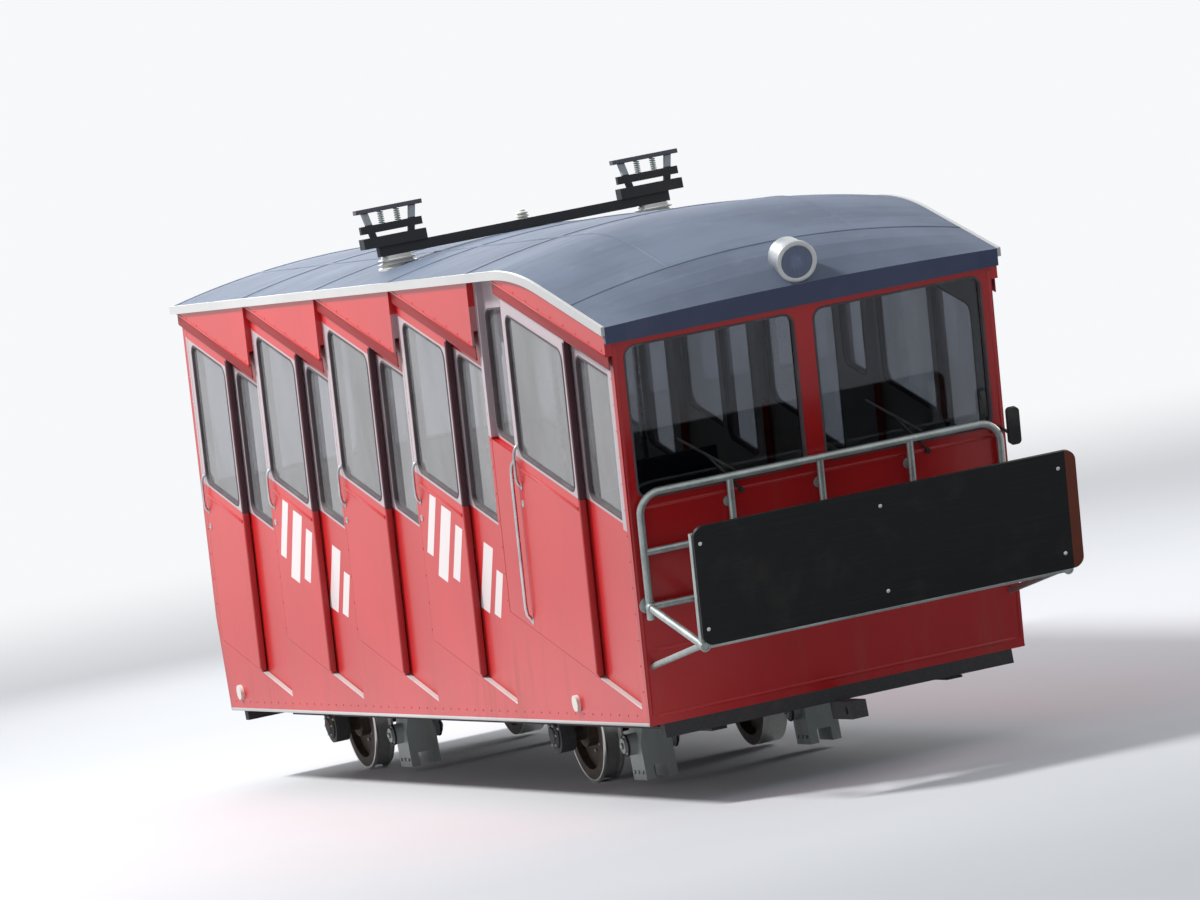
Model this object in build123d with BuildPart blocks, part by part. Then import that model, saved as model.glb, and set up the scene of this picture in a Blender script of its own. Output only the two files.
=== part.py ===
from build123d import *
import math
import os

# A small stepped funicular car on its own two axles, in millimetres. +X runs uphill along the
# track, +Y from the left side to the right side, +Z square to the track. The car's posts lean
# uphill by LEAN, so that its floors are level on a slope of that angle. A place on the long
# section is given as foot, the distance up the track from the downhill end to the foot of the
# post through it, and rise, the height along that post above the body's bottom edge.

LEAN = 15.0                  # angle of the slope the body is built for, in degrees
SIN, COS, TAN = (f(math.radians(LEAN)) for f in (math.sin, math.cos, math.tan))

# Body shell
PASSENGER_SECTIONS = 4
SECTION_LENGTH = 1505.0      # one passenger section, along the track
CAB_LENGTH = 2330.0          # driver's section, along the track
BODY_LENGTH = PASSENGER_SECTIONS * SECTION_LENGTH + CAB_LENGTH
BODY_BOTTOM = 478.0          # underside of the body above the ground
END_RISE = 2260.0            # bottom edge to roof edge at the uphill end
HALF_WIDTH = 1150.0          # middle of the car to the outside of the cover over the doors
COVER_PROUD = 38.0           # how far the cover stands out from the posts and the bottom band
FRAME_THICK = 36.0           # posts and bottom band
PANEL_THICK = 44.0           # side panels, set in behind the frame
FRAME_OUT = HALF_WIDTH - COVER_PROUD
WALL_OUT = FRAME_OUT - FRAME_THICK
WALL_IN = WALL_OUT - PANEL_THICK
END_WALL = 50.0              # thickness of the end walls, measured level
TUCK_RISE, TUCK_IN = 620.0, 110.0   # height and depth of the tucked-in foot of the downhill end

# Sections
FLOOR_LOW = 105.0            # floor above the bottom edge at a passenger section's uphill end
CAB_FLOOR_LOW = 70.0         # the same for the driver's section
HEADER = 2125.0              # floor to the edge of the cover over the doors
CAB_HEADER = 2046.0          # the same in the driver's section
COVER_LEAST = 10.0           # cover that is left above the highest point of a doorway
POST = 45.0                  # post between two sections, along the track
CORNER_POST = 110.0          # post at the uphill end, along the track
FIRST_POST = 100.0           # post at the downhill end, along the track
FLOOR_THICK = 40.0
RISER_THICK = 30.0

# Doors
LEAF_THICK = 32.0
LEAF_OUT = FRAME_OUT + 6.0   # a leaf stands out a little from the posts
LEAF_IN = LEAF_OUT - LEAF_THICK
LEAF_GAP = 6.0               # running gap at a leaf's upright edges, along the track
LEAF_TOP_GAP = 8.0           # running gap at a leaf's top and bottom edges
LEAF_END = 910.0             # start of a section to the uphill edge of its leaf
CAB_LEAF_START, CAB_LEAF_END = 480.0, 1540.0
# Bottom edge to roof edge where the roof follows the track, in whole millimetres
SIDE_RISE = math.ceil(max(FLOOR_LOW + HEADER + SECTION_LENGTH * SIN,
                          CAB_FLOOR_LOW + CAB_HEADER + (CAB_LENGTH - CAB_LEAF_START) * SIN)
                      + COVER_LEAST)
LEAF_LAP = 35.0              # how far a closed leaf laps over the panel beside the doorway
LEAF_STILE = 68.0            # solid border of a leaf beside its window
COVER_THICK = 12.0           # skin of the cover over the door rail
SLOT_HEIGHT = 95.0           # room for the rollers above the header line
RAIL_LOW, RAIL_HEIGHT, RAIL_DEPTH = 44.0, 12.0, 14.0
ROLLER_R, ROLLER_INSET, ROLLER_GAP = 16.0, 5.0, 0.3
HANGER_WIDTH, HANGER_THICK = 60.0, 10.0
HANGER_FIRST, HANGER_LAST = 400.0, 850.0     # hangers after the start of a section
CAB_HANGER_FIRST, CAB_HANGER_LAST = 870.0, 1480.0
SLOT_FIRST = 350.0           # start of the roller slot after the start of a section

# Windows
SILL = 1060.0                # floor to the window sills
HEAD = 170.0                 # header line to the window heads
PANEL_BORDER = 50.0          # solid border of a side panel beside its window
CAB_SIDE_HEAD = 190.0        # roof edge to the head of the fixed window of the driver's section
CORNER = 60.0                # radius of the windows' corners
GLASS = 6.0                  # thickness of every pane
GLASS_GAP = 0.3              # pane to the edge of its window
END_SILL, END_HEAD = 1290.0, 110.0   # bottom edge to end sill, roof edge to end window head
END_POST, END_PILLAR = 70.0, 120.0   # corner posts and centre pillar of the end walls
REAR_SILL = 1500.0           # bottom edge to the sill of the downhill end windows

# Roof
ROOF_THICK = 30.0
CROWN = 135.0                # height of the roof's arch
BEND_RADIUS = 3000.0         # roof edge where it turns from the track's slope to level
OVERHANG = 30.0              # roof past both end walls
GUTTER_THICK, GUTTER_UP, GUTTER_DOWN = 20.0, 34.0, 16.0
FASCIA = 66.0                # drop of the roof's front edge below the roof line

# Running gear
FLANGE = 18.0                # flange below the tread
TREAD_R = 300.0
AXLE_R, JOURNAL_R = 62.0, 50.0
GAUGE_HALF = 500.0           # middle of the car to the middle of a tread
TREAD_WIDTH, FLANGE_WIDTH, ROLLER_WIDTH = 70.0, 28.0, 150.0
AXLE_STEPS = ((1, 535.0), (PASSENGER_SECTIONS, 550.0))   # each axle's section, and how far
                                                         # before its uphill end the axle stands
AXLE_FOOTS = [section * SECTION_LENGTH - before for section, before in AXLE_STEPS]
SOLE_BAR_Y, SOLE_BAR_WIDTH = 700.0, 90.0
SOLE_BAR_LOW, SOLE_BAR_HIGH = 378.0, 518.0   # above the ground
BEARING_GAP = 0.05


def at(foot, rise):
    """Place on the long section as X and Z."""
    return (DOWNHILL_X + foot + rise * SIN, BODY_BOTTOM + rise * COS)


def level(foot, rise, run, up):
    """Place reached from (foot, rise) by going level uphill by run and up the post by up."""
    return at(foot + run / COS, rise - run * TAN + up)


# Rack on the uphill end, measured level from the end wall
RACK_REACH = 905.0           # end wall to the outside of the sign board
RACK_RISE = 690.0            # bottom edge to the middle of the rack's side rails
TUBE_R = 21.0
BOARD_WIDTH, BOARD_HEIGHT, BOARD_THICK = 2220.0, 665.0, 25.0
BOARD_LOW = 700.0            # bottom edge to the lower edge of the board
BOARD_SHIFT = 35.0           # board's middle to the right of the car's middle

# The origin is under the middle of the car's whole length
LOW_X = TUCK_IN
HIGH_X = BODY_LENGTH + RACK_REACH * COS + (BOARD_LOW + BOARD_HEIGHT) * SIN
DOWNHILL_X = -(LOW_X + HIGH_X) / 2

# name, start, end, floor rise at the end, header above floor, leaf start, leaf end, hangers
SECTIONS = [
    (f"section_{n + 1}", n * SECTION_LENGTH, (n + 1) * SECTION_LENGTH, FLOOR_LOW, HEADER,
     (POST if n else FIRST_POST) + LEAF_GAP, LEAF_END, (HANGER_FIRST, HANGER_LAST), SLOT_FIRST)
    for n in range(PASSENGER_SECTIONS)
]
CAB_START = PASSENGER_SECTIONS * SECTION_LENGTH
SECTIONS.append(
    ("cab", CAB_START, BODY_LENGTH, CAB_FLOOR_LOW, CAB_HEADER, CAB_LEAF_START, CAB_LEAF_END,
     (CAB_HANGER_FIRST, CAB_HANGER_LAST), CAB_HANGER_FIRST - HANGER_WIDTH)
)
SIDES = [("left", -1), ("right", 1)]
END_FOOT = END_WALL / COS    # thickness of the end walls along the track
LEVEL_START = BODY_LENGTH - (SIDE_RISE - END_RISE) / SIN   # foot where the roof edge turns level


class Section:
    """One section of the car and its lines on the long section."""

    def __init__(self, row):
        (self.name, self.start, self.end, self.floor_low, self.header,
         leaf_start, leaf_end, hangers, slot) = row
        self.leaf = (self.start + leaf_start, self.start + leaf_end)
        self.hangers = [self.start + h for h in hangers]
        self.slot = self.start + slot
        self.low = self.start + (POST if self.start else FIRST_POST)
        self.high = self.end - (CORNER_POST if self.end == BODY_LENGTH else 0)

    def floor(self, foot):
        return self.floor_low + (self.end - foot) * SIN

    def top(self, foot):
        return self.floor(foot) + self.header

    def field(self, first, last, over_floor, under_top):
        """Four corners between two posts, over the floor line and under the header line."""
        return [at(first, self.floor(first) + over_floor), at(last, self.floor(last) + over_floor),
                at(last, self.top(last) - under_top), at(first, self.top(first) - under_top)]


SECTIONS = [Section(row) for row in SECTIONS]
CAB = SECTIONS[-1]


def outline(points, radius=0.0, mode=Mode.ADD):
    """Closed straight-sided shape, with rounded corners if a radius is given."""
    with BuildLine() as edge:
        if radius:
            FilletPolyline(*points, radius=radius, close=True)
        else:
            Polyline(*points, close=True)
    make_face(edge.edges(), mode=mode)


def side_plane(sign, inner, outer):
    """Plane of the +Y face of a plate that lies between two distances from the middle."""
    return Plane.XZ.offset(-max(sign * inner, sign * outer))


def across(half_width):
    """Plane at the left of something extruded over both sides of the middle."""
    return Plane.XZ.offset(-half_width)


def post_plane(foot, rise, run=0.0):
    """Plane square to the level direction: its x is across the car, its y is up the post."""
    x, z = level(foot, rise, run, 0.0)
    return Plane(origin=(x, 0, z), x_dir=(0, 1, 0), z_dir=(COS, 0, -SIN))


def track_plane(foot, rise):
    """Plane square to the track: its x is across the car, its y is square to the track."""
    x, z = at(foot, rise)
    return Plane(origin=(x, 0, z), x_dir=(0, 1, 0), z_dir=(1, 0, 0))


def end_window_points(side, low, high):
    """Corners of one end window on a post plane."""
    inner, outer = END_PILLAR / 2, FRAME_OUT - END_POST
    near, far = sorted((side * inner, side * outer))
    return [(near, low), (far, low), (far, high), (near, high)]


def roof_path(first, last):
    """Edges of the roof line between two feet: up the track, round the bend, level."""
    tangent = BEND_RADIUS * math.tan(math.radians(LEAN / 2))
    corner = at(LEVEL_START, SIDE_RISE)
    bend_in = (corner[0] - tangent, corner[1])
    bend_out = (corner[0] + tangent * COS, corner[1] - tangent * SIN)
    end = at(last, END_RISE + (BODY_LENGTH - last) * SIN)
    return [Line(at(first, SIDE_RISE), bend_in), TangentArc(bend_in, bend_out, tangent=(1, 0)),
            Line(bend_out, end)]


def side_outline(inset):
    """Outline of a whole side, with its ends set in from the ends of the body."""
    with BuildLine() as edge:
        path = roof_path(inset, BODY_LENGTH - inset)
        Polyline(path[-1] @ 1, at(BODY_LENGTH - inset, 0), at(inset + TUCK_IN, 0),
                 at(inset, TUCK_RISE), path[0] @ 0)
    make_face(edge.edges())


def end_point(run, y, rise):
    """Place off the uphill end: level run from the end wall, across the car, up the post."""
    x, z = level(BODY_LENGTH, 0, run, rise)
    return (x, y, z)


def tube(start, stop, radius):
    """Straight round bar between two places."""
    start, stop = Vector(*start), Vector(*stop)
    with BuildSketch(Plane(origin=start, z_dir=stop - start)) as end:
        Circle(radius)
    extrude(end.sketch, amount=(stop - start).length)


os.makedirs("parts", exist_ok=True)
made = []


def finish(builder, label):
    """Name a finished piece and write it."""
    builder.part.label = label
    export_step(builder.part, f"parts/{label}.step")
    made.append(label)


# Side panels, set in behind the doors, with doorways, fixed windows and the door rails
for side, sign in SIDES:
    with BuildPart() as side_panels:
        with BuildSketch(side_plane(sign, WALL_IN, WALL_OUT)):
            side_outline(END_FOOT)
            for s in SECTIONS:
                doorway = s.field(s.leaf[0] + LEAF_LAP, s.leaf[1] - LEAF_LAP, 0, LEAF_LAP)
                outline(doorway, mode=Mode.SUBTRACT)
                window = s.field(s.leaf[1] + PANEL_BORDER, s.high - PANEL_BORDER, SILL, HEAD)
                outline(window, CORNER, Mode.SUBTRACT)
            first, last = CAB.low + PANEL_BORDER / 2, CAB.leaf[0] - PANEL_BORDER
            outline([at(first, CAB.floor(first) + SILL), at(last, CAB.floor(last) + SILL),
                     at(last, SIDE_RISE - CAB_SIDE_HEAD), at(first, SIDE_RISE - CAB_SIDE_HEAD)],
                    CORNER, Mode.SUBTRACT)
        extrude(amount=PANEL_THICK)
        with BuildSketch(side_plane(sign, WALL_OUT, WALL_OUT + RAIL_DEPTH)):
            for s in SECTIONS:
                rail_ends = (s.slot + LEAF_GAP, s.high - LEAF_GAP)
                outline([at(f, s.top(f) + RAIL_LOW + up) for f, up in
                         ((rail_ends[0], 0), (rail_ends[1], 0),
                          (rail_ends[1], RAIL_HEIGHT), (rail_ends[0], RAIL_HEIGHT))])
        extrude(amount=RAIL_DEPTH)
    finish(side_panels, f"side_panels_{side}")

# Side frames: posts, stepped bottom band and the cover over the door rails
for side, sign in SIDES:
    with BuildPart() as side_frame:
        with BuildSketch(side_plane(sign, WALL_OUT, FRAME_OUT)):
            side_outline(END_FOOT)
            for s in SECTIONS:
                outline(s.field(s.low, s.high, 0, 0), mode=Mode.SUBTRACT)
        extrude(amount=FRAME_THICK)
        with BuildSketch(side_plane(sign, FRAME_OUT, HALF_WIDTH)):
            side_outline(0)
            for s in SECTIONS:
                below = s.field(s.start, s.end, 0, 0)
                outline([at(s.start, -1), at(s.end, -1), *below[2:]], mode=Mode.SUBTRACT)
        extrude(amount=COVER_PROUD)
        with BuildSketch(side_plane(sign, WALL_OUT, HALF_WIDTH - COVER_THICK)):
            for s in SECTIONS:
                outline(s.field(s.slot, s.high, s.header - 1, -SLOT_HEIGHT))
        extrude(amount=HALF_WIDTH - COVER_THICK - WALL_OUT, mode=Mode.SUBTRACT)
    finish(side_frame, f"side_frame_{side}")

# Door leaves with their hangers and rollers, and their panes
for side, sign in SIDES:
    for s in SECTIONS:
        window = s.field(s.leaf[0] + LEAF_STILE, s.leaf[1] - LEAF_STILE, SILL, HEAD)
        with BuildPart() as door:
            with BuildSketch(side_plane(sign, LEAF_IN, LEAF_OUT)):
                outline(s.field(*s.leaf, LEAF_TOP_GAP, LEAF_TOP_GAP))
                outline(window, CORNER, Mode.SUBTRACT)
            extrude(amount=LEAF_THICK)
            roller_rise = RAIL_LOW + RAIL_HEIGHT + ROLLER_GAP + ROLLER_R
            plate_in = WALL_OUT + RAIL_DEPTH + LEAF_GAP
            with BuildSketch(side_plane(sign, plate_in, plate_in + HANGER_THICK)):
                for foot in s.hangers:
                    half = HANGER_WIDTH / 2
                    outline([at(f, s.top(f) + up) for f, up in
                             ((foot - half, -LEAF_TOP_GAP), (foot + half, -LEAF_TOP_GAP),
                              (foot + half, roller_rise), (foot - half, roller_rise))])
            extrude(amount=HANGER_THICK)
            roller_in = WALL_OUT + ROLLER_INSET
            with BuildSketch(side_plane(sign, roller_in, plate_in)):
                for foot in s.hangers:
                    x, z = at(foot, s.top(foot) + RAIL_LOW + RAIL_HEIGHT)
                    with Locations((x + (ROLLER_R + ROLLER_GAP) * SIN,
                                    z + (ROLLER_R + ROLLER_GAP) * COS)):
                        Circle(ROLLER_R)
            extrude(amount=plate_in - roller_in)
        finish(door, f"door_{side}_{s.name}")

        pane_in = (LEAF_IN + LEAF_OUT - GLASS) / 2
        with BuildPart() as door_glass:
            with BuildSketch(side_plane(sign, pane_in, pane_in + GLASS)) as pane:
                outline(window, CORNER)
                offset(amount=-GLASS_GAP)
            extrude(amount=GLASS)
        finish(door_glass, f"glass_{side}_{s.name}")

# Panes of the side panels
with BuildPart() as side_glass:
    pane_in = (WALL_IN + WALL_OUT - GLASS) / 2
    for side, sign in SIDES:
        with BuildSketch(side_plane(sign, pane_in, pane_in + GLASS)):
            for s in SECTIONS:
                window = s.field(s.leaf[1] + PANEL_BORDER, s.high - PANEL_BORDER, SILL, HEAD)
                outline(window, CORNER)
            first, last = CAB.low + PANEL_BORDER / 2, CAB.leaf[0] - PANEL_BORDER
            outline([at(first, CAB.floor(first) + SILL), at(last, CAB.floor(last) + SILL),
                     at(last, SIDE_RISE - CAB_SIDE_HEAD), at(first, SIDE_RISE - CAB_SIDE_HEAD)],
                    CORNER)
            offset(amount=-GLASS_GAP)
        extrude(amount=GLASS)
finish(side_glass, "side_glass")


def arch(half_width, base, crown):
    """Filled shape under an arch on a plane whose x is across the car."""
    with BuildLine() as edge:
        ThreePointArc((-half_width, base), (0, base + crown), (half_width, base))
        Line((half_width, base), (-half_width, base))
    make_face(edge.edges())


def roof_section(crown):
    """Cross-section of the roof shell over the side walls, as its own sketch."""
    with BuildSketch() as shell:
        with BuildLine():
            Polyline((-HALF_WIDTH, ROOF_THICK), (-HALF_WIDTH, 0), (-WALL_IN, 0))
            ThreePointArc((-WALL_IN, 0), (0, crown), (WALL_IN, 0))
            Polyline((WALL_IN, 0), (HALF_WIDTH, 0), (HALF_WIDTH, ROOF_THICK))
            ThreePointArc((HALF_WIDTH, ROOF_THICK), (0, ROOF_THICK + crown),
                          (-HALF_WIDTH, ROOF_THICK))
        make_face()
    return shell.sketch


# Downhill end wall with its gable under the roof and its tucked-in foot
REAR_HEAD = SIDE_RISE - END_HEAD
with BuildPart() as end_wall_downhill:
    with BuildSketch(across(FRAME_OUT)):
        outline([at(TUCK_IN, 0), at(0, TUCK_RISE), at(0, SIDE_RISE), at(END_FOOT, SIDE_RISE),
                 at(END_FOOT, TUCK_RISE), at(END_FOOT + TUCK_IN, 0)])
    extrude(amount=2 * FRAME_OUT)
    with BuildSketch(track_plane(-END_FOOT, SIDE_RISE)):
        arch(WALL_IN, 0, CROWN)
    gable = extrude(amount=4 * END_FOOT, mode=Mode.PRIVATE)
    with BuildSketch(across(FRAME_OUT)):
        outline([at(0, SIDE_RISE - 1), at(0, SIDE_RISE + 2 * CROWN),
                 at(END_FOOT, SIDE_RISE + 2 * CROWN), at(END_FOOT, SIDE_RISE - 1)])
    slab = extrude(amount=2 * FRAME_OUT, mode=Mode.PRIVATE)
    add(gable & slab)
    with BuildSketch(post_plane(0, 0, -END_WALL)):
        for side in (-1, 1):
            outline(end_window_points(side, REAR_SILL, REAR_HEAD), CORNER)
    extrude(amount=3 * END_WALL, mode=Mode.SUBTRACT)
finish(end_wall_downhill, "end_wall_downhill")

# Uphill end wall
UPHILL_HEAD = END_RISE - END_HEAD
with BuildPart() as end_wall_uphill:
    with BuildSketch(across(FRAME_OUT)):
        outline([at(BODY_LENGTH - END_FOOT, 0), at(BODY_LENGTH, 0), at(BODY_LENGTH, END_RISE),
                 at(BODY_LENGTH - END_FOOT, END_RISE + END_FOOT * SIN)])
    extrude(amount=2 * FRAME_OUT)
    with BuildSketch(post_plane(BODY_LENGTH, 0, -2 * END_WALL)):
        for side in (-1, 1):
            outline(end_window_points(side, END_SILL, UPHILL_HEAD), CORNER)
    extrude(amount=3 * END_WALL, mode=Mode.SUBTRACT)
finish(end_wall_uphill, "end_wall_uphill")

# Panes of the end walls
with BuildPart() as end_glass:
    middle = (END_WALL + GLASS) / 2
    for foot, rise, run, low, high in (
        (BODY_LENGTH, 0, -middle, END_SILL, UPHILL_HEAD),
        (0, 0, middle - GLASS, REAR_SILL, REAR_HEAD),
    ):
        with BuildSketch(post_plane(foot, rise, run)):
            for side in (-1, 1):
                outline(end_window_points(side, low, high), CORNER)
            offset(amount=-GLASS_GAP)
        extrude(amount=GLASS)
finish(end_glass, "end_glass")

# Roof: up the track, round the bend, level, and a hood that rolls down at the front
HOOD = [(-480.0, CROWN), (-300.0, 122.0), (-140.0, 88.0), (OVERHANG, 26.0)]
HOOD_IN = [(-480.0, CROWN), (-300.0, 120.0), (-140.0, 84.0), (-END_WALL, 52.0)]
LAMP_R, LAMP_RISE, LAMP_BACK, LAMP_FRONT = 105.0, 168.0, -170.0, -10.0
LAMP_RIM_R, LAMP_RIM_LENGTH, LAMP_LENS_R, LAMP_LENS = 116.0, 20.0, 92.0, 10.0
TAIL_R, TAIL_LENGTH, TAIL_RISE, TAIL_EDGE = 92.0, 70.0, SIDE_RISE + 20.0, 12.0
tangent = BEND_RADIUS * math.tan(math.radians(LEAN / 2))
bend_x, bend_z = at(LEVEL_START, SIDE_RISE)
bend_in = Plane(origin=(bend_x - tangent, 0, bend_z), x_dir=(0, 1, 0), z_dir=(1, 0, 0))
bend_out = Plane(origin=(bend_x + tangent * COS, 0, bend_z - tangent * SIN),
                 x_dir=(0, 1, 0), z_dir=(COS, 0, -SIN))
rear_x = at(0, SIDE_RISE)[0]
hood_x = level(BODY_LENGTH, END_RISE, HOOD[0][0], 0)[0]
with BuildPart() as roof:
    with BuildSketch(bend_in):
        add(roof_section(CROWN))
    extrude(amount=-(bend_in.origin.X - rear_x + 2 * OVERHANG + ROOF_THICK + CROWN))
    with BuildSketch(bend_in):
        add(roof_section(CROWN))
    revolve(axis=Axis((bend_in.origin.X, 0, bend_z - BEND_RADIUS), (0, 1, 0)),
            revolution_arc=LEAN)
    with BuildSketch(bend_out):
        add(roof_section(CROWN))
    extrude(amount=(hood_x - bend_out.origin.X) / COS)
    split(bisect_by=post_plane(0, SIDE_RISE, -OVERHANG), keep=Keep.TOP)
    for run, crown in HOOD:
        with BuildSketch(post_plane(BODY_LENGTH, END_RISE, run)):
            with BuildLine() as edge:
                Polyline((-HALF_WIDTH, ROOF_THICK), (-HALF_WIDTH, 0), (HALF_WIDTH, 0),
                         (HALF_WIDTH, ROOF_THICK))
                ThreePointArc((HALF_WIDTH, ROOF_THICK), (0, ROOF_THICK + crown),
                              (-HALF_WIDTH, ROOF_THICK))
            make_face()
    loft(ruled=True)
    for run, crown in HOOD_IN:
        with BuildSketch(post_plane(BODY_LENGTH, END_RISE, run)):
            arch(WALL_IN, 0, crown)
    loft(ruled=True, mode=Mode.SUBTRACT)
    with BuildSketch(across(HALF_WIDTH)):
        outline([level(BODY_LENGTH, END_RISE, run, up) for run, up in
                 ((0, -FASCIA), (OVERHANG, -FASCIA), (OVERHANG, 1), (0, 1))])
    extrude(amount=2 * HALF_WIDTH)
    with BuildSketch(post_plane(BODY_LENGTH, END_RISE, LAMP_BACK)):
        with Locations((0, LAMP_RISE)):
            Circle(LAMP_R + GLASS_GAP)
    extrude(amount=LAMP_FRONT + OVERHANG - LAMP_BACK + CROWN, mode=Mode.SUBTRACT)
    with BuildSketch(post_plane(BODY_LENGTH, END_RISE, LAMP_FRONT - LAMP_RIM_LENGTH - GLASS_GAP)):
        with Locations((0, LAMP_RISE)):
            Circle(LAMP_RIM_R + GLASS_GAP)
    extrude(amount=LAMP_RIM_LENGTH + CROWN, mode=Mode.SUBTRACT)
finish(roof, "roof")

# Gutters along both roof edges
with BuildPart() as gutters:
    for side, sign in SIDES:
        low, high = sorted((sign * HALF_WIDTH, sign * (HALF_WIDTH + GUTTER_THICK)))
        with BuildSketch(bend_in):
            outline([(low, -GUTTER_DOWN), (high, -GUTTER_DOWN), (high, GUTTER_UP),
                     (low, GUTTER_UP)])
        extrude(amount=-(bend_in.origin.X - rear_x + OVERHANG / COS))
        with BuildSketch(bend_in):
            outline([(low, -GUTTER_DOWN), (high, -GUTTER_DOWN), (high, GUTTER_UP),
                     (low, GUTTER_UP)])
        revolve(axis=Axis((bend_in.origin.X, 0, bend_z - BEND_RADIUS), (0, 1, 0)),
                revolution_arc=LEAN)
        with BuildSketch(bend_out):
            outline([(low, -GUTTER_DOWN), (high, -GUTTER_DOWN), (high, GUTTER_UP),
                     (low, GUTTER_UP)])
        extrude(amount=(at(BODY_LENGTH, END_RISE)[0] - bend_out.origin.X) / COS + OVERHANG)
finish(gutters, "gutters")

# Lamps: one on the hood, sunk into the roof, and one on the gable of the downhill end
with BuildPart() as headlamp:
    for back, length, radius in ((LAMP_BACK, LAMP_FRONT - LAMP_BACK, LAMP_R),
                                 (LAMP_FRONT - LAMP_RIM_LENGTH, LAMP_RIM_LENGTH, LAMP_RIM_R)):
        with BuildSketch(post_plane(BODY_LENGTH, END_RISE, back)):
            with Locations((0, LAMP_RISE)):
                Circle(radius)
        extrude(amount=length)
    with BuildSketch(post_plane(BODY_LENGTH, END_RISE, LAMP_FRONT - LAMP_LENS - GLASS_GAP)):
        with Locations((0, LAMP_RISE)):
            Circle(LAMP_LENS_R)
    extrude(amount=LAMP_LENS + 2 * GLASS_GAP, mode=Mode.SUBTRACT)
finish(headlamp, "headlamp")
with BuildPart() as headlamp_lens:
    with BuildSketch(post_plane(BODY_LENGTH, END_RISE, LAMP_FRONT - LAMP_LENS)):
        with Locations((0, LAMP_RISE)):
            Circle(LAMP_LENS_R - GLASS_GAP)
    extrude(amount=LAMP_LENS)
finish(headlamp_lens, "headlamp_lens")
with BuildPart() as tail_lamp:
    with BuildSketch(post_plane(0, 0, -TAIL_LENGTH)):
        with Locations((0, TAIL_RISE)):
            Circle(TAIL_R)
    extrude(amount=TAIL_LENGTH)
    chamfer(tail_lamp.faces().sort_by(Axis.X)[0].edges(), TAIL_EDGE)
finish(tail_lamp, "tail_lamp")

# Stepped floor with its risers, standing on the underframe
FRAME_TOP = (SOLE_BAR_HIGH - BODY_BOTTOM) / COS      # top of the underframe as a rise
with BuildPart() as floor:
    with BuildSketch(across(WALL_IN)):
        for s in SECTIONS:
            first, last = max(s.start, END_FOOT), min(s.end, BODY_LENGTH - END_FOOT)
            outline([at(first, s.floor(first)), at(last, s.floor(last)),
                     at(last, s.floor(last) - FLOOR_THICK),
                     at(first, s.floor(first) - FLOOR_THICK)])
        for s, above in zip(SECTIONS, SECTIONS[1:]):
            first = s.end - RISER_THICK
            outline([at(first, FRAME_TOP), at(s.end, FRAME_TOP), at(s.end, above.floor(s.end)),
                     at(first, above.floor(s.end))])
        outline([at(END_FOOT, 0), at(END_FOOT + TUCK_IN, 0), at(END_FOOT, TUCK_RISE)],
                mode=Mode.SUBTRACT)
    extrude(amount=2 * WALL_IN)
finish(floor, "floor")

# Benches across the uphill side of each passenger section
BENCH_DEPTH, BENCH_HEIGHT, BENCH_THICK = 440.0, 430.0, 45.0
BENCH_BACK, BENCH_BACK_THICK = 960.0, 38.0
BENCH_LEG, BENCH_LEGS = 40.0, (-700.0, 0.0, 700.0)
BENCH_HALF = WALL_IN - 40.0
with BuildPart() as benches:
    for s in SECTIONS[:-1]:
        back = s.end - RISER_THICK
        front = back - BENCH_DEPTH / COS
        lean_back = back - BENCH_BACK_THICK / COS
        with BuildSketch(across(BENCH_HALF)):
            outline([at(f, s.floor(f) + up) for f, up in
                     ((front, BENCH_HEIGHT - BENCH_THICK), (back, BENCH_HEIGHT - BENCH_THICK),
                      (back, BENCH_BACK), (lean_back, BENCH_BACK),
                      (lean_back, BENCH_HEIGHT), (front, BENCH_HEIGHT))])
        extrude(amount=2 * BENCH_HALF)
        with BuildSketch(*[Plane.XZ.offset(-(y + BENCH_LEG / 2)) for y in BENCH_LEGS]):
            outline([at(f, s.floor(f) + up) for f, up in
                     ((front + BENCH_LEG, 0), (back, 0), (back, BENCH_HEIGHT - BENCH_THICK),
                      (front + BENCH_LEG, BENCH_HEIGHT - BENCH_THICK))])
        extrude(amount=BENCH_LEG)
finish(benches, "benches")

# Grab poles in front of the benches, from the floor to the ceiling
POLE_R, POLE_STAND = 18.0, 90.0
CEILING = BODY_BOTTOM + SIDE_RISE * COS + CROWN
with BuildPart() as grab_poles:
    for s in SECTIONS[:-1]:
        foot = s.end - RISER_THICK - BENCH_DEPTH / COS - POLE_STAND
        x, z = at(foot, s.floor(foot))
        reach = (CEILING - z) / COS
        tube((x, 0, z), (x + reach * SIN, 0, CEILING), POLE_R)
    split(bisect_by=Plane(origin=(0, 0, CEILING - POLE_R * TAN - GLASS_GAP), z_dir=(0, 0, 1)),
          keep=Keep.BOTTOM)
finish(grab_poles, "grab_poles")

# Driver's desk under the uphill windows
DESK_DEPTH, DESK_HEIGHT, DESK_SIDE, DESK_TOE = 420.0, 900.0, 130.0, 120.0
DESK_BACK_RISE, DESK_BACK_DEPTH, DESK_FASCIA, DESK_UNDERCUT = 160.0, 150.0, 160.0, 60.0
with BuildPart() as desk:
    back = BODY_LENGTH - END_FOOT
    front = back - DESK_DEPTH / COS
    with BuildSketch(across(WALL_IN - DESK_SIDE)):
        outline([at(f, CAB.floor(f) + up) for f, up in
                 ((front + DESK_TOE, 0), (back, 0), (back, DESK_HEIGHT + DESK_BACK_RISE),
                  (back - DESK_BACK_DEPTH, DESK_HEIGHT + DESK_BACK_RISE), (front, DESK_HEIGHT),
                  (front, DESK_HEIGHT - DESK_FASCIA),
                  (front + DESK_TOE, DESK_HEIGHT - DESK_FASCIA - DESK_UNDERCUT))])
    extrude(amount=2 * (WALL_IN - DESK_SIDE))
finish(desk, "desk")

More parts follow.
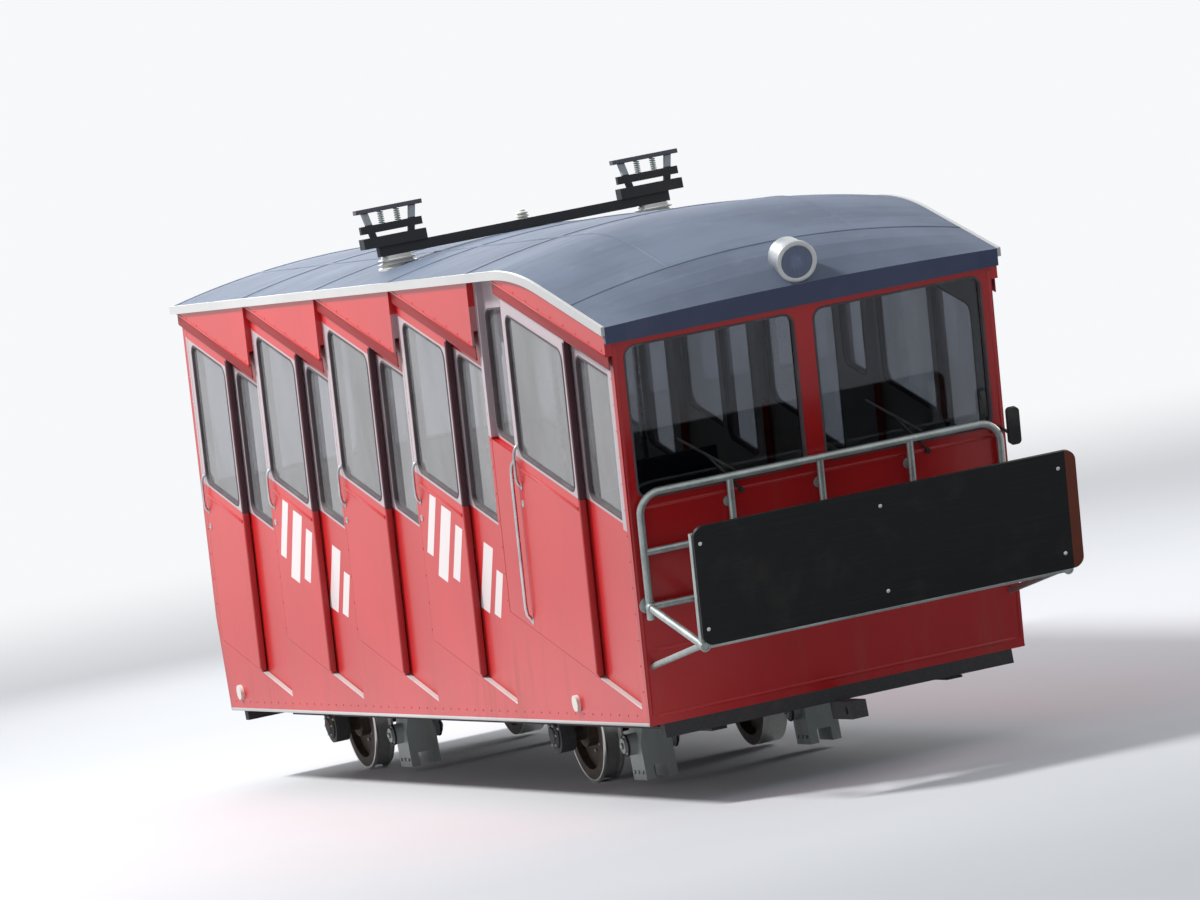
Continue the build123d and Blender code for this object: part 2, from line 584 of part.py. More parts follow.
# Driver's seat on its pedestal
SEAT_AHEAD, SEAT_Y, SEAT_HALF, SEAT_DEPTH, SEAT_HEIGHT = 230.0, -420.0, 230.0, 420.0, 520.0
SEAT_THICK, SEAT_BACK, SEAT_BACK_THICK, PEDESTAL_R, PEDESTAL_FOOT_R = 80.0, 560.0, 70.0, 45.0, 150.0
PEDESTAL_FOOT, SEAT_ROUND = 20.0, 22.0
with BuildPart() as driver_seat:
    back = BODY_LENGTH - END_FOOT - (DESK_DEPTH + SEAT_AHEAD) / COS
    front = back - SEAT_DEPTH / COS
    with BuildSketch(Plane.XZ.offset(-(SEAT_Y + SEAT_HALF))):
        top = CAB.floor(front) + SEAT_HEIGHT
        slant = (back - front) * SIN
        outline([at(front, top), at(back, top - slant), at(back, top - slant - SEAT_THICK),
                 at(front, top - SEAT_THICK)], SEAT_ROUND)
        outline([at(front, top - SEAT_THICK), at(front + SEAT_BACK_THICK, top - SEAT_THICK),
                 at(front + SEAT_BACK_THICK, top + SEAT_BACK), at(front, top + SEAT_BACK)],
                SEAT_ROUND)
    extrude(amount=2 * SEAT_HALF)
    middle = (front + back) / 2
    x, z = at(middle, CAB.floor(middle))
    seat_x, seat_z = at(middle, CAB.floor(middle) + SEAT_HEIGHT - SEAT_THICK / 2)
    tube((x, SEAT_Y, z), (seat_x, SEAT_Y, seat_z), PEDESTAL_R)
    tube((x, SEAT_Y, z), (x + PEDESTAL_FOOT * SIN, SEAT_Y, z + PEDESTAL_FOOT * COS),
         PEDESTAL_FOOT_R)
finish(driver_seat, "driver_seat")

# Underframe: two channel sole bars, cross members and headstocks
CROSS_WIDTH, CROSS_LOW, CHANNEL_WEB, CHANNEL_FLANGE = 80.0, 400.0, 12.0, 14.0
CALIPER_AFTER_AXLE = 950.0
BAR_ENDS = (TUCK_IN + 70.0, BODY_LENGTH - 70.0)
caliper_feet = [foot + CALIPER_AFTER_AXLE for foot in AXLE_FOOTS]
cross_feet = [s.end - CROSS_WIDTH / 2 for s in SECTIONS[:-1]] + caliper_feet


def track_x(foot):
    """X of a foot on the body's bottom edge."""
    return DOWNHILL_X + foot


with BuildPart() as underframe:
    for side, sign in SIDES:
        with BuildSketch(Plane(origin=(track_x(BAR_ENDS[0]), 0, 0), x_dir=(0, 1, 0),
                               z_dir=(1, 0, 0))):
            near, far = SOLE_BAR_Y - SOLE_BAR_WIDTH / 2, SOLE_BAR_Y + SOLE_BAR_WIDTH / 2
            outline([(sign * near, SOLE_BAR_LOW), (sign * far, SOLE_BAR_LOW),
                     (sign * far, SOLE_BAR_LOW + CHANNEL_FLANGE),
                     (sign * (near + CHANNEL_WEB), SOLE_BAR_LOW + CHANNEL_FLANGE),
                     (sign * (near + CHANNEL_WEB), SOLE_BAR_HIGH - CHANNEL_FLANGE),
                     (sign * far, SOLE_BAR_HIGH - CHANNEL_FLANGE),
                     (sign * far, SOLE_BAR_HIGH), (sign * near, SOLE_BAR_HIGH)])
        extrude(amount=BAR_ENDS[1] - BAR_ENDS[0])
    for foot in cross_feet:
        with BuildSketch(Plane.XZ.offset(-near)):
            outline([(track_x(foot - CROSS_WIDTH / 2), CROSS_LOW),
                     (track_x(foot + CROSS_WIDTH / 2), CROSS_LOW),
                     (track_x(foot + CROSS_WIDTH / 2), SOLE_BAR_HIGH),
                     (track_x(foot - CROSS_WIDTH / 2), SOLE_BAR_HIGH)])
        extrude(amount=2 * near)
    for first, last in ((TUCK_IN, BAR_ENDS[0]), (BAR_ENDS[1], BODY_LENGTH)):
        with BuildSketch(across(WALL_IN)):
            outline([(track_x(first), CROSS_LOW), (track_x(last), CROSS_LOW),
                     (track_x(last), BODY_BOTTOM), (track_x(first), BODY_BOTTOM)])
        extrude(amount=2 * WALL_IN)
finish(underframe, "underframe")

# Two wheelsets: flanged on both sides of the tread at the left, plain rollers at the right
AXLE_Z = FLANGE + TREAD_R
AXLE_HALF = SOLE_BAR_Y + SOLE_BAR_WIDTH / 2 - 6.0
BOX_HALF = 110.0
SHOULDER = SOLE_BAR_Y - SOLE_BAR_WIDTH / 2 - 5.0
DISC_HALF, HUB_R, HUB_HALF, RIM_DEPTH = 16.0, 105.0, 75.0, 60.0
FLANGE_SLOPE, FLANGE_EDGE = 12.0, 8.0


def half_wheel(half_tread, flanged):
    """Half of a wheel from hub to the middle of its tread, as (distance from the wheel, radius)."""
    rim = half_tread + (FLANGE_WIDTH if flanged else 0.0)
    points = [(HUB_HALF, AXLE_R), (HUB_HALF, HUB_R), (DISC_HALF, HUB_R),
              (DISC_HALF, TREAD_R - RIM_DEPTH), (rim, TREAD_R - RIM_DEPTH)]
    if flanged:
        return points + [(rim, TREAD_R + FLANGE - FLANGE_EDGE),
                         (rim - FLANGE_EDGE, TREAD_R + FLANGE),
                         (half_tread + FLANGE_SLOPE, TREAD_R + FLANGE), (half_tread, TREAD_R)]
    return points + [(rim, TREAD_R)]


def wheelset_profile():
    """Half section of a wheelset on a plane whose x is across the car and y is the radius."""
    points = [(-AXLE_HALF, 0), (-AXLE_HALF, JOURNAL_R), (-SHOULDER, JOURNAL_R), (-SHOULDER, AXLE_R)]
    for y, half_tread, flanged in ((-GAUGE_HALF, TREAD_WIDTH / 2, True),
                                   (GAUGE_HALF, ROLLER_WIDTH / 2, False)):
        half = half_wheel(half_tread, flanged)
        points += [(y - across_y, radius) for across_y, radius in half]
        points += [(y + across_y, radius) for across_y, radius in reversed(half)]
    return points + [(SHOULDER, AXLE_R), (SHOULDER, JOURNAL_R), (AXLE_HALF, JOURNAL_R),
                     (AXLE_HALF, 0)]


for name, foot in zip(("downhill", "uphill"), AXLE_FOOTS):
    with BuildPart() as wheelset:
        plane = Plane(origin=(track_x(foot), 0, AXLE_Z), x_dir=(0, 1, 0), z_dir=(1, 0, 0))
        with BuildSketch(plane):
            outline(wheelset_profile())
        revolve(axis=Axis((track_x(foot), 0, AXLE_Z), (0, 1, 0)), revolution_arc=360)
    finish(wheelset, f"wheelset_{name}")

# Axle boxes under the sole bars
with BuildPart() as axle_boxes:
    for foot in AXLE_FOOTS:
        for side, sign in SIDES:
            near, far = SOLE_BAR_Y - SOLE_BAR_WIDTH / 2, SOLE_BAR_Y + SOLE_BAR_WIDTH / 2
            with BuildSketch(side_plane(sign, near, far)):
                with BuildLine() as edge:
                    x, z = track_x(foot), AXLE_Z
                    Polyline((x - BOX_HALF, z), (x - BOX_HALF, SOLE_BAR_LOW),
                             (x + BOX_HALF, SOLE_BAR_LOW), (x + BOX_HALF, z))
                    ThreePointArc((x + BOX_HALF, z), (x, z - BOX_HALF), (x - BOX_HALF, z))
                make_face()
                with Locations((x, z)):
                    Circle(JOURNAL_R + BEARING_GAP, mode=Mode.SUBTRACT)
            extrude(amount=far - near)
finish(axle_boxes, "axle_boxes")

# Rail brake calipers, hung from cross members, open below for the rail head. Each has a
# spring cylinder across its top, a yoke and two jaws
CALIPER_LENGTH, CALIPER_HALF, CALIPER_LOW, JAW_IN = 230.0, 95.0, 40.0, 42.0
YOKE_LOW, YOKE_HIGH, HANGER_HALF = 120.0, 250.0, 50.0
SPRING_R, SPRING_HALF, SPRING_END = 62.0, 165.0, 18.0
with BuildPart() as calipers:
    for foot in caliper_feet:
        for side, sign in SIDES:
            y = sign * GAUGE_HALF
            with BuildSketch(Plane(origin=(track_x(foot - CALIPER_LENGTH / 2), 0, 0),
                                   x_dir=(0, 1, 0), z_dir=(1, 0, 0))):
                outline([(y - CALIPER_HALF, CALIPER_LOW), (y - JAW_IN, CALIPER_LOW),
                         (y - JAW_IN, YOKE_LOW), (y + JAW_IN, YOKE_LOW),
                         (y + JAW_IN, CALIPER_LOW), (y + CALIPER_HALF, CALIPER_LOW),
                         (y + CALIPER_HALF, YOKE_HIGH), (y + HANGER_HALF, CROSS_LOW),
                         (y - HANGER_HALF, CROSS_LOW), (y - CALIPER_HALF, YOKE_HIGH)])
            extrude(amount=CALIPER_LENGTH)
            for half, radius in ((SPRING_HALF, SPRING_R - SPRING_END),
                                 (SPRING_HALF - SPRING_END, SPRING_R)):
                tube((track_x(foot), y - half, YOKE_HIGH),
                     (track_x(foot), y + half, YOKE_HIGH), radius)
finish(calipers, "calipers")

# Rope socket at the uphill headstock
SOCKET_R, SOCKET_LENGTH, SOCKET_PIN_R = 48.0, 260.0, 22.0
SOCKET_SEAT, SOCKET_PIN_BACK = 60.0, 70.0
SOCKET_Z = CROSS_LOW - SOCKET_R
with BuildPart() as rope_socket:
    x = track_x(BODY_LENGTH)
    with BuildSketch(Plane.XZ.offset(-SOCKET_R)):
        outline([(x - SOCKET_SEAT, CROSS_LOW), (x + SOCKET_LENGTH, CROSS_LOW),
                 (x + SOCKET_LENGTH, SOCKET_Z - SOCKET_R), (x - SOCKET_SEAT, SOCKET_Z - SOCKET_R)])
    extrude(amount=2 * SOCKET_R)
    with BuildSketch(Plane.XZ.offset(-SOCKET_R)):
        with Locations((x + SOCKET_LENGTH - SOCKET_PIN_BACK, SOCKET_Z)):
            Circle(SOCKET_PIN_R)
    extrude(amount=2 * SOCKET_R, mode=Mode.SUBTRACT)
finish(rope_socket, "rope_socket")

# Rack on the uphill end wall: a rail bent round the wall's lower part, bars, side rails, braces
RACK_Y = FRAME_OUT - 52.0
BACK_RUN, BACK_LOW, BACK_TOP, BACK_CORNER = 45.0, 620.0, 1330.0, 120.0
BACK_BARS = [RACK_Y * share for share in (-0.5, 0.0, 0.5)]
CROSS_BAR_RISES = (1000.0, RACK_RISE)
STUB_R, STUB_RISE, BRACE_RISE, BRACE_RUN = 12.0, 1180.0, 330.0, 840.0
POST_SIZE, POST_DROP = 40.0, 45.0
RAIL_R, BRACE_R, BAR_R = TUBE_R + 1.0, TUBE_R - 3.0, TUBE_R - 1.0
RACK_FRONT = RACK_REACH - BOARD_THICK - TUBE_R - GLASS_GAP
with BuildPart() as rack_frame:
    with BuildLine() as rail:
        FilletPolyline(end_point(BACK_RUN, -RACK_Y, BACK_LOW), end_point(BACK_RUN, -RACK_Y, BACK_TOP),
                       end_point(BACK_RUN, RACK_Y, BACK_TOP), end_point(BACK_RUN, RACK_Y, BACK_LOW),
                       radius=BACK_CORNER)
    with BuildSketch(Plane(origin=rail.line @ 0, z_dir=rail.line % 0)):
        Circle(TUBE_R)
    sweep()
    for y in BACK_BARS:
        tube(end_point(BACK_RUN, y, BACK_LOW), end_point(BACK_RUN, y, BACK_TOP), BAR_R)
        tube(end_point(0, y, STUB_RISE), end_point(BACK_RUN, y, STUB_RISE), STUB_R)
    for y in (-RACK_Y, RACK_Y):
        tube(end_point(0, y, RACK_RISE), end_point(RACK_FRONT + TUBE_R, y, RACK_RISE), RAIL_R)
        tube(end_point(-BRACE_R, y, BRACE_RISE), end_point(BRACE_RUN, y, RACK_RISE), BRACE_R)
    for run, rise in [(BACK_RUN, rise) for rise in CROSS_BAR_RISES] + [(RACK_FRONT, RACK_RISE)]:
        tube(end_point(run, -RACK_Y, rise), end_point(run, RACK_Y, rise), BAR_R)
    split(bisect_by=post_plane(BODY_LENGTH, 0), keep=Keep.TOP)
finish(rack_frame, "rack_frame")

# Slats of the rack floor between its rails
SLATS, SLAT_WIDTH, SLAT_THICK = 7, 50.0, 20.0
with BuildPart() as rack_floor:
    with BuildSketch(post_plane(BODY_LENGTH, RACK_RISE, BACK_RUN + BAR_R + GLASS_GAP)):
        for n in range(SLATS):
            y = -RACK_Y + 2 * RACK_Y * (n + 1) / (SLATS + 1)
            with Locations((y, 0)):
                Rectangle(SLAT_WIDTH, SLAT_THICK)
    extrude(amount=RACK_FRONT - BACK_RUN - 2 * (BAR_R + GLASS_GAP))
finish(rack_floor, "rack_floor")

# Sign board with its posts
with BuildPart() as board_posts:
    with BuildSketch(post_plane(BODY_LENGTH, 0, RACK_REACH - BOARD_THICK - POST_SIZE)):
        high = BOARD_LOW + BOARD_HEIGHT - POST_DROP
        for y, low in ((-RACK_Y, RACK_RISE + RAIL_R), (0, RACK_RISE + BAR_R),
                       (RACK_Y, RACK_RISE + RAIL_R)):
            with Locations((y, (low + high) / 2)):
                Rectangle(POST_SIZE, high - low)
    extrude(amount=POST_SIZE)
finish(board_posts, "board_posts")
with BuildPart() as board:
    with BuildSketch(post_plane(BODY_LENGTH, 0, RACK_REACH - BOARD_THICK)):
        with Locations((BOARD_SHIFT, BOARD_LOW + BOARD_HEIGHT / 2)):
            RectangleRounded(BOARD_WIDTH, BOARD_HEIGHT, CORNER)
    extrude(amount=BOARD_THICK)
finish(board, "sign_board")

# Current collectors on the roof: light bases, a cross beam with an insulator at its middle,
# and at each end a hinged frame that carries the contact strip
COLLECTOR_FOOT, COLLECTOR_Y, BASE_SIZE = 3700.0, 805.0, 210.0
BEAM_LOW, BEAM_SIZE, BEAM_MIDDLE = ROOF_THICK + CROWN, 60.0, 95.0
STRIP_LENGTH, STRIP_WIDTH, STRIP_THICK, STRIP_HIGH = 410.0, 60.0, 26.0, 445.0
KNEE_HIGH, KNEE_THICK, KNEE_HALF, ARM_SIZE, ARM_LOW, ARM_HIGH = 335.0, 46.0, 190.0, 36.0, 105.0, 150.0
SHOE_LENGTH, SHOE_HEIGHT, SHOE_WIDTH = 390.0, 62.0, 96.0
with BuildPart() as collector_bases:
    with BuildSketch(track_plane(COLLECTOR_FOOT - BASE_SIZE / 2, SIDE_RISE)):
        for y in (-COLLECTOR_Y, COLLECTOR_Y):
            with Locations((y, BEAM_LOW / 2)):
                Rectangle(BASE_SIZE, BEAM_LOW)
        with BuildLine() as edge:
            ThreePointArc((-HALF_WIDTH, ROOF_THICK), (0, ROOF_THICK + CROWN),
                          (HALF_WIDTH, ROOF_THICK))
            Polyline((HALF_WIDTH, ROOF_THICK), (HALF_WIDTH, -ROOF_THICK),
                     (-HALF_WIDTH, -ROOF_THICK), (-HALF_WIDTH, ROOF_THICK))
        make_face(edge.edges(), mode=Mode.SUBTRACT)
    extrude(amount=BASE_SIZE)
finish(collector_bases, "collector_bases")
with BuildPart() as collectors:
    for low, high, length, width in (
        (BEAM_LOW, BEAM_LOW + BEAM_SIZE, 2 * COLLECTOR_Y + BASE_SIZE, BEAM_SIZE),
        (BEAM_LOW, BEAM_LOW + BEAM_SIZE + GLASS_GAP, BEAM_MIDDLE, BEAM_SIZE + 2),
    ):
        with BuildSketch(track_plane(COLLECTOR_FOOT - width / 2, SIDE_RISE)):
            with Locations((0, (low + high) / 2)):
                Rectangle(length, high - low)
        extrude(amount=width)
    for y in (-COLLECTOR_Y, COLLECTOR_Y):
        with BuildSketch(track_plane(COLLECTOR_FOOT - SHOE_WIDTH / 2, SIDE_RISE)):
            with Locations((y, BEAM_LOW + BEAM_SIZE + SHOE_HEIGHT / 2 - 1)):
                Rectangle(SHOE_LENGTH, SHOE_HEIGHT)
        extrude(amount=SHOE_WIDTH)
        with BuildSketch(track_plane(COLLECTOR_FOOT - STRIP_WIDTH / 2, SIDE_RISE)):
            with Locations((y, STRIP_HIGH)):
                Rectangle(STRIP_LENGTH, STRIP_THICK)
        extrude(amount=STRIP_WIDTH)
        with BuildSketch(track_plane(COLLECTOR_FOOT - ARM_SIZE / 2, SIDE_RISE)):
            with Locations((y, KNEE_HIGH)):
                Rectangle(2 * KNEE_HALF, KNEE_THICK)
            for side in (-1, 1):
                low, high = y + side * ARM_LOW, y + side * ARM_HIGH
                outline([(low - ARM_SIZE / 2, BEAM_LOW + BEAM_SIZE),
                         (low + ARM_SIZE / 2, BEAM_LOW + BEAM_SIZE),
                         (high + ARM_SIZE / 2, STRIP_HIGH), (high - ARM_SIZE / 2, STRIP_HIGH)])
        extrude(amount=ARM_SIZE)
finish(collectors, "collectors")

# Wipers on the uphill windows: a spindle in the sill, an arm and a blade
WIPER_RUN, SPINDLE_R, WIPER_ARM_R, BLADE_R, SPINDLE_DROP = 14.0, 16.0, 6.0, 7.0, 60.0
WIPER_ARM, WIPER_BLADE = (-190.0, 250.0), ((160.0, -130.0), (-150.0, 110.0))
WINDOW_MIDDLE = (END_PILLAR / 2 + FRAME_OUT - END_POST) / 2
with BuildPart() as wipers:
    for middle in (-WINDOW_MIDDLE, WINDOW_MIDDLE):
        y, spindle = middle - WIPER_ARM[0] / 2, END_SILL - SPINDLE_DROP
        tip = (y + WIPER_ARM[0], spindle + WIPER_ARM[1])
        tube(end_point(0, y, spindle), end_point(WIPER_RUN, y, spindle), SPINDLE_R)
        tube(end_point(WIPER_RUN, y, spindle), end_point(WIPER_RUN, *tip), WIPER_ARM_R)
        (first_y, first_up), (last_y, last_up) = WIPER_BLADE
        tube(end_point(WIPER_RUN, tip[0] + first_y, tip[1] + first_up),
             end_point(WIPER_RUN, tip[0] + last_y, tip[1] + last_up), BLADE_R)
finish(wipers, "wipers")

# Mirror on an arm at the right corner of the uphill end
MIRROR_RISE, MIRROR_RUN, MIRROR_HALF = 1330.0, 190.0, 105.0
MIRROR_WIDTH, MIRROR_THICK, MIRROR_ARM_R, MIRROR_ARM_DROP = 70.0, 32.0, 9.0, 60.0
MIRROR_Y = FRAME_OUT - 24.0
with BuildPart() as mirror:
    arm = MIRROR_RISE - MIRROR_ARM_DROP
    tube(end_point(0, MIRROR_Y, arm), end_point(MIRROR_RUN, MIRROR_Y, arm), MIRROR_ARM_R)
    with BuildSketch(post_plane(BODY_LENGTH, 0, MIRROR_RUN - MIRROR_THICK / 2)):
        with Locations((MIRROR_Y, MIRROR_RISE)):
            RectangleRounded(MIRROR_WIDTH, 2 * MIRROR_HALF, MIRROR_WIDTH / 3)
    extrude(amount=MIRROR_THICK)
finish(mirror, "mirror")

# Jacking pads on the bottom band of the side frames
PAD_FIRST, PAD_LAST = 390.0, 1220.0   # after the downhill foot and before the uphill end
PAD_RISE, PAD_R, PAD_THICK = 125.0, 46.0, 22.0
with BuildPart() as jacking_pads:
    for side, sign in SIDES:
        with BuildSketch(side_plane(sign, FRAME_OUT, FRAME_OUT + PAD_THICK)):
            for foot in (PAD_FIRST, BODY_LENGTH - PAD_LAST):
                with Locations(at(foot, PAD_RISE)):
                    Circle(PAD_R)
        extrude(amount=PAD_THICK)
finish(jacking_pads, "jacking_pads")

print(len(made), "nodes")
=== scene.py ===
import math
import bpy
import numpy as np
from mathutils import Matrix, Vector


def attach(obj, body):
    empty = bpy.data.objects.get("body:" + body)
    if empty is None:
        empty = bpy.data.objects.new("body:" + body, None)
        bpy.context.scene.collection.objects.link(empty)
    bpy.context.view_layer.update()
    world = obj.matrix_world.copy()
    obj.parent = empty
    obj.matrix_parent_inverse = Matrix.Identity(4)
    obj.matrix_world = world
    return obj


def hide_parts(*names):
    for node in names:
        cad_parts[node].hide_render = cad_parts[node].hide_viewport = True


# Dress of a small stepped funicular car. Metres, +X uphill along the track, +Y from the left
# side to the right side, +Z square to the track. A place on the long section is given as foot,
# the distance up the track, and rise, the height up the leaning posts.

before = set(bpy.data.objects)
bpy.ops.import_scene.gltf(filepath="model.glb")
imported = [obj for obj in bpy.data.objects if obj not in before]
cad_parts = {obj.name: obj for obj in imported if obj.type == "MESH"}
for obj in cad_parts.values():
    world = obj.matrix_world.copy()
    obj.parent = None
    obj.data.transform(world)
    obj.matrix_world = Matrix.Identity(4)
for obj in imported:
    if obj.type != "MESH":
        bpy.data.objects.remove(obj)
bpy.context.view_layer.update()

LEAN = math.radians(15.0)
SIN, COS, TAN = math.sin(LEAN), math.cos(LEAN), math.tan(LEAN)
BODY_BOTTOM, SIDE_RISE, END_RISE = 0.478, 2.630, 2.260
SECTION_LENGTH, PASSENGER_SECTIONS, CAB_LENGTH = 1.505, 4, 2.330
CAB_START = SECTION_LENGTH * PASSENGER_SECTIONS
BODY_LENGTH = CAB_START + CAB_LENGTH
HALF_WIDTH, FRAME_OUT, WALL_OUT, WALL_IN = 1.150, 1.112, 1.076, 1.032
LEAF_OUT, LEAF_IN, LEAF_STILE = 1.118, 1.086, 0.068
TUCK_IN, TUCK_RISE, END_WALL = 0.110, 0.620, 0.050
SILL, HEAD, CORNER, PANEL_BORDER = 1.060, 0.170, 0.060, 0.050
END_SILL, END_HEAD, REAR_SILL, END_POST, END_PILLAR = 1.290, 0.110, 1.500, 0.070, 0.120
ROOF_THICK, CROWN, BEND_RADIUS = 0.030, 0.135, 3.000
RACK_REACH, BOARD_LOW, BOARD_WIDTH, BOARD_HEIGHT, BOARD_SHIFT = 0.905, 0.700, 2.220, 0.665, 0.035
DOWNHILL_X = -(TUCK_IN + BODY_LENGTH + RACK_REACH * COS + (BOARD_LOW + BOARD_HEIGHT) * SIN) / 2
UP_POST = np.array([SIN, 0.0, COS])
LEVEL = np.array([COS, 0.0, -SIN])
ACROSS = np.array([0.0, 1.0, 0.0])
UPRIGHT = np.array([0.0, 0.0, 1.0])
ALONG = np.array([1.0, 0.0, 0.0])
SIDES = (("left", -1), ("right", 1))
AXLES = (("downhill", 0.970), ("uphill", 5.470))
AXLE_HEIGHT, TREAD_EDGE = 0.318, 0.2975


def at(foot, rise, y=0.0):
    """Place on the long section: X grows with foot and with rise times the lean, Z with rise."""
    foot, rise, y = np.broadcast_arrays(*map(np.asarray, (foot, rise, y)))
    return np.stack([DOWNHILL_X + foot + rise * SIN, y + 0.0, BODY_BOTTOM + rise * COS], -1)


def off_end(run, y, rise, foot=BODY_LENGTH):
    """Place off an end of the car: level run from its wall, across, and up the post."""
    run, y, rise = np.broadcast_arrays(*map(np.asarray, (run, y, rise)))
    return at(foot + run / COS, rise - run * TAN, y)


class Section:
    """One section of the car with its floor line, header line and door leaf."""

    def __init__(self, name, start, end, floor_low, header, leaf_start, leaf_end, first_post):
        self.name, self.start, self.end = name, start, end
        self.floor_low, self.header = floor_low, header
        self.leaf = (start + leaf_start, start + leaf_end)
        self.low, self.high = start + first_post, end - (0.110 if name == "cab" else 0.0)

    def floor(self, foot):
        return self.floor_low + (self.end - foot) * SIN

    def field(self, first, last, low, under_top, y=0.0):
        """Four corners between two feet, over the floor line and under the header line."""
        feet, top = np.array([first, last, last, first]), self.header - under_top
        return at(feet, self.floor(feet) + np.array([low, low, top, top]), y)


SECTIONS = [Section(f"section_{n + 1}", n * SECTION_LENGTH, (n + 1) * SECTION_LENGTH, 0.105, 2.125,
                    (0.045 if n else 0.100) + 0.006, 0.910, 0.045 if n else 0.100)
            for n in range(PASSENGER_SECTIONS)]
SECTIONS.append(Section("cab", CAB_START, BODY_LENGTH, 0.070, 2.046, 0.480, 1.540, 0.045))
CAB = SECTIONS[-1]


# Surfaces

def unit(vectors):
    """Each vector divided by its length."""
    return vectors / np.linalg.norm(vectors, axis=-1, keepdims=True)


def faced_out(points, triangles):
    """Triangles with some area, turned over if the shell's signed volume is below nothing."""
    corners = points[triangles]
    normals = np.cross(corners[:, 1] - corners[:, 0], corners[:, 2] - corners[:, 0])
    keep = np.linalg.norm(normals, axis=1) > 1e-12
    volume = np.sum(corners[:, 0] * normals)
    triangles = triangles[keep]
    return points, triangles[:, ::-1] if volume < 0 else triangles


def shell(rings, closed=False):
    """Closed surface over rings of points: neighbouring rings are joined by quads cut in two,
    and unless the last ring joins the first, both ends are fans about the ring's middle."""
    count, around = rings.shape[:2]
    index = np.arange(count * around).reshape(count, around)
    first = index if closed else index[:-1]
    second = np.roll(index, -1, 0) if closed else index[1:]
    a, b, c, d = first, np.roll(first, -1, 1), np.roll(second, -1, 1), second
    triangles = [np.stack([a, b, c], -1).reshape(-1, 3), np.stack([a, c, d], -1).reshape(-1, 3)]
    points = rings.reshape(-1, 3)
    if not closed:
        points = np.concatenate([points, rings[0].mean(0)[None], rings[-1].mean(0)[None]])
        for end, way in ((0, -1), (1, 1)):
            ring, middle = index[-end], np.full(around, count * around + end)
            triangles.append(np.stack([middle, ring, np.roll(ring, -1)], -1)[:, ::way])
    return faced_out(points, np.concatenate(triangles))


def swept(path, out, profile, closed=False, scale=None):
    """Profile carried along a path: its first number is laid off square to the path and to out,
    its second along out, both times the scale at that point."""
    path = np.asarray(path, float)
    if closed:
        tangent = unit(np.roll(path, -1, 0) - np.roll(path, 1, 0))
    else:
        tangent = unit(np.gradient(path, axis=0))
    aside = unit(np.cross(tangent, np.broadcast_to(out, path.shape)))
    upward = np.cross(aside, tangent)
    if closed and np.sum(aside * (path - path.mean(0))) < 0:
        aside, upward = -aside, upward
    size = np.ones(len(path)) if scale is None else np.asarray(scale, float)
    first, second = profile[None, :, 0, None], profile[None, :, 1, None]
    steps = first * aside[:, None] + second * upward[:, None]
    return shell(path[:, None] + steps * size[:, None, None], closed)


def circle(radius, sides=12):
    """Points of a circle: cosine and sine of equal steps of angle."""
    angle = np.arange(sides) * 2 * np.pi / sides
    return radius * np.stack([np.cos(angle), np.sin(angle)], -1)


def mirrored(*points):
    """Profile from the points of its first half, the second half being their mirror image."""
    return np.array([*points, *((-x, y) for x, y in points[::-1])])


def rounded_rectangle(width, height, power=5.0, sides=20):
    """Superellipse: cosine and sine of the angle raised to 2 / power, times the half sizes."""
    angle = (np.arange(sides) + 0.5) * 2 * np.pi / sides
    wave = np.stack([np.cos(angle), np.sin(angle)], -1)
    return np.sign(wave) * np.abs(wave) ** (2 / power) * np.array([width / 2, height / 2])


def bar(start, stop, out, profile, bevel=0.002):
    """Straight bar with the profile, drawn in by the bevel at both ends."""
    start, stop = np.asarray(start, float), np.asarray(stop, float)
    length = np.linalg.norm(stop - start)
    share = np.array([0.0, bevel / length, 1 - bevel / length, 1.0])[:, None]
    size = 1 - bevel / np.abs(profile).max()
    return swept(start + (stop - start) * share, out, profile, scale=[size, 1, 1, size])


def crossbar(middle, half, out, profile, bevel=0.002):
    """Bar across the car, from half to the left of a place to half to the right."""
    return bar(middle - ACROSS * half, middle + ACROSS * half, out, profile, bevel)


def spokes(axis, sides):
    """The axis as a unit vector, and unit vectors square to it at equal steps of angle."""
    axis = unit(np.asarray(axis, float))
    aside = unit(np.cross(axis, UPRIGHT if abs(axis[2]) < 0.9 else ALONG))
    return axis, circle(1.0, sides) @ np.stack([aside, np.cross(axis, aside)])


def turned(base, axis, profile, sides=32):
    """Surface of revolution: at each radius and height of the profile a circle about the axis."""
    axis, wheel = spokes(axis, sides)
    profile = np.asarray(profile, float)
    return shell(base + profile[:, 0, None, None] * wheel + profile[:, 1, None, None] * axis)


def hoop(base, axis, radius, profile, sides=40):
    """Ring: the profile carried round a circle square to the axis."""
    axis, wheel = spokes(axis, sides)
    return swept(base + radius * wheel, axis, profile, closed=True)


def bolt_ring(centre, axis, radius, count, size, height):
    """Bolt heads at equal steps of angle round an axis across the car."""
    ring = radius * circle(1.0, count) @ np.stack([ALONG, UPRIGHT])
    return studs(centre + ring, axis, size, height, 6)


def bolt_row(centre, steps, axis, size, height):
    """Bolt heads in a row along the car."""
    return studs(centre + ALONG * np.array(steps)[:, None], axis, size, height, 6)


def studs(centres, out, radius, height, sides=8):
    """Low domes: one small surface of revolution set at every centre, all as one array."""
    centres = np.asarray(centres, float).reshape(-1, 3)
    share = np.array([[1.0, -0.2], [1.0, 0.25], [0.8, 0.75], [0.35, 1.0]])
    points, triangles = turned((0, 0, 0), out, share * (radius, height), sides)
    starts = np.arange(len(centres))[:, None, None] * len(points)
    return (centres[:, None] + points).reshape(-1, 3), (triangles + starts).reshape(-1, 3)


